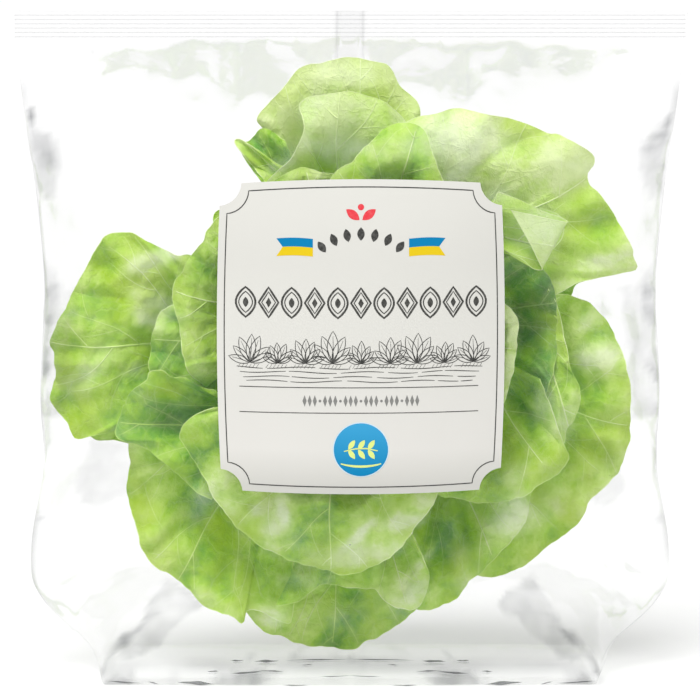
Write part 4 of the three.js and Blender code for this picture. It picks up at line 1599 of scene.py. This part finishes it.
    @staticmethod
    def creases(points, height):
        """Height of the film's creases: none under the label, and low ones on the base."""
        x, y, z = points.T
        behind = y > 0
        lift = 0.5 - 1.5 * np.abs(cloud(x + 70 * behind, z, 26, 101))
        lift += 0.3 - 0.9 * np.abs(cloud(x + 30 * behind, z, 12, 103))
        lift += 0.15 * cloud(x - 40 * behind, z, 5, 102)
        width = np.interp(z, *SIDE_PROFILE)
        slack = 0.35 + 0.9 * smoothstep(np.abs(x) / width, 0.62, 0.95)
        slack += 0.8 * smoothstep(z, 190, 222) + 0.9 * (1 - smoothstep(z, 20, 60))
        rng = np.random.default_rng(7)
        for _ in range(SHARP_CREASES):
            side, face = rng.choice([-1, 1]), rng.choice([0, 1])
            hub_z = rng.choice(HUB_HEIGHTS)
            hub = np.array([side * np.interp(hub_z, *HUB_PROFILE), hub_z])
            out = rng.uniform(0, 14)
            aim = np.array([side * rng.uniform(0, 80), np.clip(hub_z + rng.normal(0, 45), 6, 236)])
            along = unit(aim - hub)
            start, length = hub + along * out, rng.uniform(18, 60)
            px, pz = x - start[0], z - start[1]
            run = np.clip((px * along[0] + pz * along[1]) / length, 0, 1)
            away = np.hypot(px - run * length * along[0], pz - run * length * along[1])
            ridge = np.exp(-(away / rng.uniform(1.0, 2.4)) ** 2) * np.sin(math.pi * run)
            lift += np.where(behind == bool(face), ridge * rng.uniform(-1.1, 0.9), 0)
        label = np.maximum(
            np.abs(x - LABEL_CENTRE[0]) / (LABEL_SPAN[0] / 2 + 3),
            np.abs(z - LABEL_CENTRE[1]) / (LABEL_SPAN[1] / 2 + 3))
        free = np.where(behind, 1, smoothstep(label, 1.0, 1.18))
        flat = (0.3 + 0.7 * smoothstep(z, 0, 6)) * (1 - smoothstep(z, 232, 238))
        edge = smoothstep(np.abs(y), 0.4, 3)
        return np.maximum(height * lift * slack * free * flat * edge, -DEEPEST_CREASE)


class LETTUCEPACK_OT_leaves(bpy.types.Operator):
    """Build the leaves that show through the film"""

    bl_idname = "lettuce_pack.leaves"
    bl_label = "Leaves"

    def execute(self, context):
        settings = settings_of(context)
        materials = [leaf_material(settings), vein_material(settings)]
        stack = LEAF_STACK["all"] = LeafStack()
        for leaf in HEART_LEAVES + FRONT_LEAVES + WRAPPER_LEAVES:
            leaf_piece(leaf, settings, materials, stack)
        return {"FINISHED"}


class LETTUCEPACK_OT_stem(bpy.types.Operator):
    """Build the cut stem that shows at the back of the head"""

    bl_idname = "lettuce_pack.stem"
    bl_label = "Cut stem"

    def execute(self, context):
        sides = 48
        # Radius and distance from the cut face, in millimetres
        profile = [(0.3, 0.0), (4, 0.1), (8, 0.0), (10.6, 0.3), (11.8, 1.2), (12.6, 3.5),
                   (13.6, 8), (15, 16), (12, 30), (0.3, 34)]
        angle = np.arange(sides) * 2 * math.pi / sides
        uneven = 1 + 0.05 * np.sin(3 * angle + 1) + 0.03 * np.sin(5 * angle + 2)
        uneven += 0.02 * np.sin(11 * angle)
        face_y = film_depth().at(*HEAD_CENTRE, behind=True) - 2.6
        points = []
        for radius, inwards in profile:
            ring = radius * uneven
            points.append(np.column_stack([
                HEAD_CENTRE[0] + ring * np.cos(angle), np.full(sides, face_y - inwards),
                HEAD_CENTRE[1] + ring * np.sin(angle)]))
        stem = make_piece(
            "cut_stem", np.vstack(points), ring_faces(len(profile), sides),
            [stem_material(settings_of(context))])
        recalculate(stem)
        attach(stem, "root")
        return {"FINISHED"}


class LETTUCEPACK_OT_label(bpy.types.Operator):
    """Build the paper label with its hollow corners"""

    bl_idname = "lettuce_pack.label"
    bl_label = "Label"

    def execute(self, context):
        grid = label_grid()
        rows, columns = grid.shape[:2]
        a, b = grid.reshape(-1, 2).T
        face, back = on_label(a, b), on_label(a, b, -PAPER_THICKNESS)
        total = rows * columns
        faces = grid_faces(rows, columns)
        faces += [[i + total for i in reversed(quad)] for quad in grid_faces(rows, columns)]
        ring = (
            [c for c in range(columns)] + [r * columns + columns - 1 for r in range(1, rows)]
            + [(rows - 1) * columns + c for c in range(columns - 2, -1, -1)]
            + [r * columns for r in range(rows - 2, 0, -1)])
        for first, second in zip(ring, ring[1:] + ring[:1]):
            faces.append([second, first, first + total, second + total])
        label = make_piece(
            "paper_label", np.vstack([face, back]), faces,
            [paper_material(settings_of(context))])
        recalculate(label)
        label.data.set_sharp_from_angle(angle=math.radians(60))
        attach(label, "root")
        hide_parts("label")
        return {"FINISHED"}


class LETTUCEPACK_OT_print(bpy.types.Operator):
    """Print the label: border, ornaments, pennants, plant drawing and roundel"""

    bl_idname = "lettuce_pack.print"
    bl_label = "Label print"

    def execute(self, context):
        dark = Ink()
        dark.line(border_line(2.7), 0.4, closed=True)
        for b in (-17.15, -26.6):  # the rules above and below the grey row
            dark.line([(-44.5, b), (43.0, b)], 0.3)
        self.leaf_arch(dark)
        self.plants(dark)
        dark.piece("print_dark", ink_material("dark_ink", linear("#3A3A38"), 0.1))
        self.ornaments()
        grey = Ink()
        for k in range(23):
            a = -20.6 + 41.2 / 22 * k
            if k % 4 == 3:
                grey.patch(placed(circle(0.5, 14), (a, -22.1)))
            else:
                grey.patch(placed(lozenge(4.3, 1.5), (a, -24.25)))
        grey.piece("print_grey", ink_material("grey_ink", linear("#838380"), 0.12))
        red = Ink()
        for side in (-1, 1):
            red.patch(placed(leaf_shape(6.2, 3.1), (0.5 * side, 44.1), -52 * side))
        red.patch(placed(circle(1.15, 20), (0, 48.7)))
        red.piece("print_red", ink_material("red_ink", linear("#D93F48"), 0.08))
        self.pennants()
        self.roundel()
        return {"FINISHED"}

    @staticmethod
    def leaf_arch(ink):
        """Small leaves along an arch, in the place of a heading."""
        radius, top = 23.7, 38.9
        for k in range(7):
            lean = -36.6 + 12.2 * k
            foot = turned(np.array([0, radius - 2.2]), -lean) + (0, top - radius)
            ink.patch(placed(leaf_shape(4.8, 2.7), foot, -lean))

    @staticmethod
    def plants(ink):
        """A bed of leafy plants in furrows, drawn in line."""
        rng = np.random.default_rng(5)
        ground = -8.2
        for k in range(9):
            a = -41 + 10.2 * k + rng.uniform(-0.8, 0.8)
            size = (11.5, 8.2, 9.8)[k % 3]
            for blade in range(-3, 4):
                lean = -24 * blade + rng.uniform(-4, 4)
                length = size * (1 - 0.09 * abs(blade)) * rng.uniform(0.9, 1.05)
                outline = placed(leaf_shape(length, length * 0.34, 8), (a, ground), lean)
                ink.line(outline, 0.27, closed=True)
                rib = [(0, 0.8), (0.15, length * 0.5), (0, length * 0.85)]
                ink.line(placed(rib, (a, ground), lean), 0.2, taper=0.6)
            for k_hatch in range(6):
                start = np.array([a - 3.6 + 1.35 * k_hatch, ground - 0.5])
                ink.line([start, start + (-0.9, -1.4)], 0.2, taper=0.5)
        for row, b in enumerate((-9.9, -11.5, -13.3, -14.9)):
            left, right = -45.5 + 1.2 * row, 44.5 - 1.2 * row
            while left < right:
                length = rng.uniform(7, 19)
                end = min(left + length, right)
                wave = [(a, b + 0.35 * math.sin(a / 4.5 + row)) for a in np.linspace(left, end, 9)]
                ink.line(wave, 0.3, taper=0.5)
                left = end + rng.uniform(0.8, 2.2)

    @staticmethod
    def ornaments():
        """A row of double-line leaves and lozenges, repeated by geometry nodes, for a title."""
        count, width = 11, 90.6
        flats = []
        for shape in (leaf_shape, lozenge):
            ink = Ink()
            ink.line(shape(11.0, 7.2), 0.75, closed=True)
            ink.line(placed(shape(11.0, 7.2), (0, 1.65), 0, 0.7), 0.42, closed=True)
            ink.patch(placed(shape(11.0, 6.0), (0, 3.6), 0, 0.34))
            flat = [(a, b, 0.0) for a, b in ink.points]
            source = make_piece("ornament_" + shape.__name__, flat, ink.faces, [])
            flats.append(source)
        tree = repeat_tree("ornament_row")
        carrier = add_object("print_title", bpy.data.meshes.new("print_title"))
        ink = ink_material("title_ink", linear("#3D3D3A"), 0.1)
        set_inputs(carrier, tree, {
            "Even": flats[0], "Odd": flats[1], "Count": count, "Ink": ink,
            "Step": ((width - 6.4) / (count - 1) * MM, 0.0, 0.0)})
        settle(carrier)
        a, b, _ = mesh_points(carrier.data).T
        a += -width / 2 + 3.2
        surface = on_label(a, b + 8.5, INK_HEIGHT)
        carrier.data.vertices.foreach_set("co", (surface * MM).ravel())
        face_front(carrier)
        for source in flats:
            bpy.data.objects.remove(source)
        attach(carrier, "root")

    @staticmethod
    def pennants():
        """Two pennants of a blue and a yellow band each, with forked ends."""
        middle, inner, tail, fork = 34.1, 17.5, 30.8, 2.3
        for name, outer, colour in (("blue", 37.3, "#0A7BAD"), ("yellow", 30.9, "#DDBF1E")):
            ink = Ink()
            for side in (-1, 1):
                stretch = np.linspace(inner, tail, 7)
                edge = [(a, outer) for a in stretch]
                edge += [(a - fork, middle) for a in stretch[:0:-1]] + [(inner, middle)]
                ink.patch([(side * a, b + 0.4 * math.sin((a - inner) / 4.4)) for a, b in edge])
            ink.piece("print_" + name, ink_material(name + "_ink", linear(colour), 0.0))

    @staticmethod
    def roundel():
        """A round blue stamp with a pale sprig."""
        centre = (0.0, -40.3)
        white = Ink()
        white.patch(placed(circle(10.3), centre))
        white.piece("print_roundel_rim", ink_material("pale_rim_ink", linear("#CFE6F0"), 0.0))
        blue = Ink(layer=2)
        blue.patch(placed(circle(9.95), centre))
        blue.piece("print_roundel", stamp_material(centre[1] - 10, centre[1] + 10))
        pale = Ink(layer=3)
        pale.line(placed([(-6.2, -0.6), (-2, 0.4), (2, 0.5), (6.2, -0.4)], centre), 0.5, taper=0.4)
        for k, lean in enumerate((-62, -118, -62, -118, -62, -118)):
            foot = (centre[0] - 4.6 + 3.6 * (k // 2), centre[1] + 0.1)
            pale.patch(placed(leaf_shape(4.3, 1.9), foot, lean + (28 if k % 2 == 0 else -28)))
        swash = [(9.3 * math.sin(u), -5.2 - 1.1 * math.cos(1.6 * u))
                 for u in np.linspace(-0.95, 0.95, 9)]
        pale.line(placed([(a * 0.98, b) for a, b in swash], centre), 0.9, taper=0.7)
        pale.piece("print_sprig", ink_material("lime_ink", linear("#E2EE8C"), 0.0))


class LETTUCEPACK_OT_stage(bpy.types.Operator):
    """Build the floor, the soft lights and the camera"""

    bl_idname = "lettuce_pack.stage"
    bl_label = "Stage"

    def execute(self, context):
        scene = context.scene
        reach = 15000  # far enough that the floor's edge is never seen
        corners = [(-reach, -reach, 0), (reach, -reach, 0), (reach, reach, 0), (-reach, reach, 0)]
        floor = make_piece(
            "studio_floor", corners, [[0, 1, 2, 3]], [floor_material()], smooth=False)
        self.soft_box("key_softbox", (-900, -1100, 1250), 800, 800, 5.0)
        self.soft_box("fill_softbox", (1300, -700, 700), 500, 1100, 4.4)
        self.overhead_light()
        scene.world = self.room()
        scene.view_settings.view_transform = "Standard"
        camera = bpy.data.cameras.new("picture_camera")
        camera.sensor_width = SENSOR
        camera.lens = SENSOR * EYE_DISTANCE / (PICTURE_SIZE * PIXEL)
        camera.clip_end = 60
        eye = add_object("picture_camera", camera)
        eye.location = EYE * MM
        eye.rotation_euler = (math.pi / 2 - EYE_TILT, 0, 0)
        scene.camera = eye
        return {"FINISHED"}

    @staticmethod
    def room():
        """White walls: bright in reflections and behind the pack, and a weak light on it."""
        world = bpy.data.worlds.new("studio_room")
        world.use_nodes = True
        tree = world.node_tree
        ray = add_node(tree, "LightPath").outputs
        mirrored = add_node(
            tree, "Math", {0: ray["Is Glossy Ray"], 1: 0.85, 2: 0.18}, operation="MULTIPLY_ADD")
        strength = add_node(
            tree, "Math", {0: mirrored, 1: ray["Is Camera Ray"]}, operation="MAXIMUM")
        tree.links.new(strength.outputs[0], tree.nodes["Background"].inputs["Strength"])
        tree.nodes["Background"].inputs["Color"].default_value = (1, 1, 1, 1)
        return world

    @staticmethod
    def overhead_light():
        """The ceiling's wide soft light, which lights the whole floor evenly."""
        light = bpy.data.lights.new("ceiling_light", "SUN")
        light.angle = math.radians(26)
        light.energy = 3.4
        lamp = add_object("ceiling_light", light)
        lamp.rotation_euler = (math.radians(20), math.radians(-12), 0)
        lamp.visible_glossy = False

    @staticmethod
    def soft_box(name, place, width, height, power):
        """An area light that looks at the middle of the pack."""
        light = bpy.data.lights.new(name, "AREA")
        light.shape = "RECTANGLE"
        light.size, light.size_y = width * MM, height * MM
        light.energy = power
        lamp = add_object(name, light)
        lamp.location = np.array(place) * MM
        towards = Vector(AIM * MM) - Vector(np.array(place) * MM)
        lamp.rotation_euler = towards.to_track_quat("-Z", "Y").to_euler()


OPERATORS = [
    LETTUCEPACK_OT_film, LETTUCEPACK_OT_leaves, LETTUCEPACK_OT_stem, LETTUCEPACK_OT_label,
    LETTUCEPACK_OT_print, LETTUCEPACK_OT_stage,
]


class LETTUCEPACK_PT_panel(bpy.types.Panel):
    """Lists the pack's settings and the steps that build it"""

    bl_idname = "LETTUCEPACK_PT_panel"
    bl_label = "Lettuce Pack"
    bl_space_type = "VIEW_3D"
    bl_region_type = "UI"
    bl_category = "Lettuce Pack"

    def draw(self, context):
        settings = settings_of(context)
        for name in settings.bl_rna.properties.keys():
            if name not in ("rna_type", "name"):
                self.layout.prop(settings, name)
        for operator in OPERATORS:
            self.layout.operator(operator.bl_idname)


CLASSES = [LettucePackSettings, *OPERATORS, LETTUCEPACK_PT_panel]


def register():
    for one in CLASSES:
        bpy.utils.register_class(one)
    bpy.types.Scene.lettuce_pack = bpy.props.PointerProperty(type=LettucePackSettings)


def unregister():
    del bpy.types.Scene.lettuce_pack
    for one in reversed(CLASSES):
        bpy.utils.unregister_class(one)


def main():
    register()
    bpy.ops.lettuce_pack.leaves()
    bpy.ops.lettuce_pack.stem()
    bpy.ops.lettuce_pack.film()
    bpy.ops.lettuce_pack.label()
    bpy.ops.lettuce_pack.print()
    bpy.ops.lettuce_pack.stage()
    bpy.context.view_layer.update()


if __name__ == "__main__":
    main()
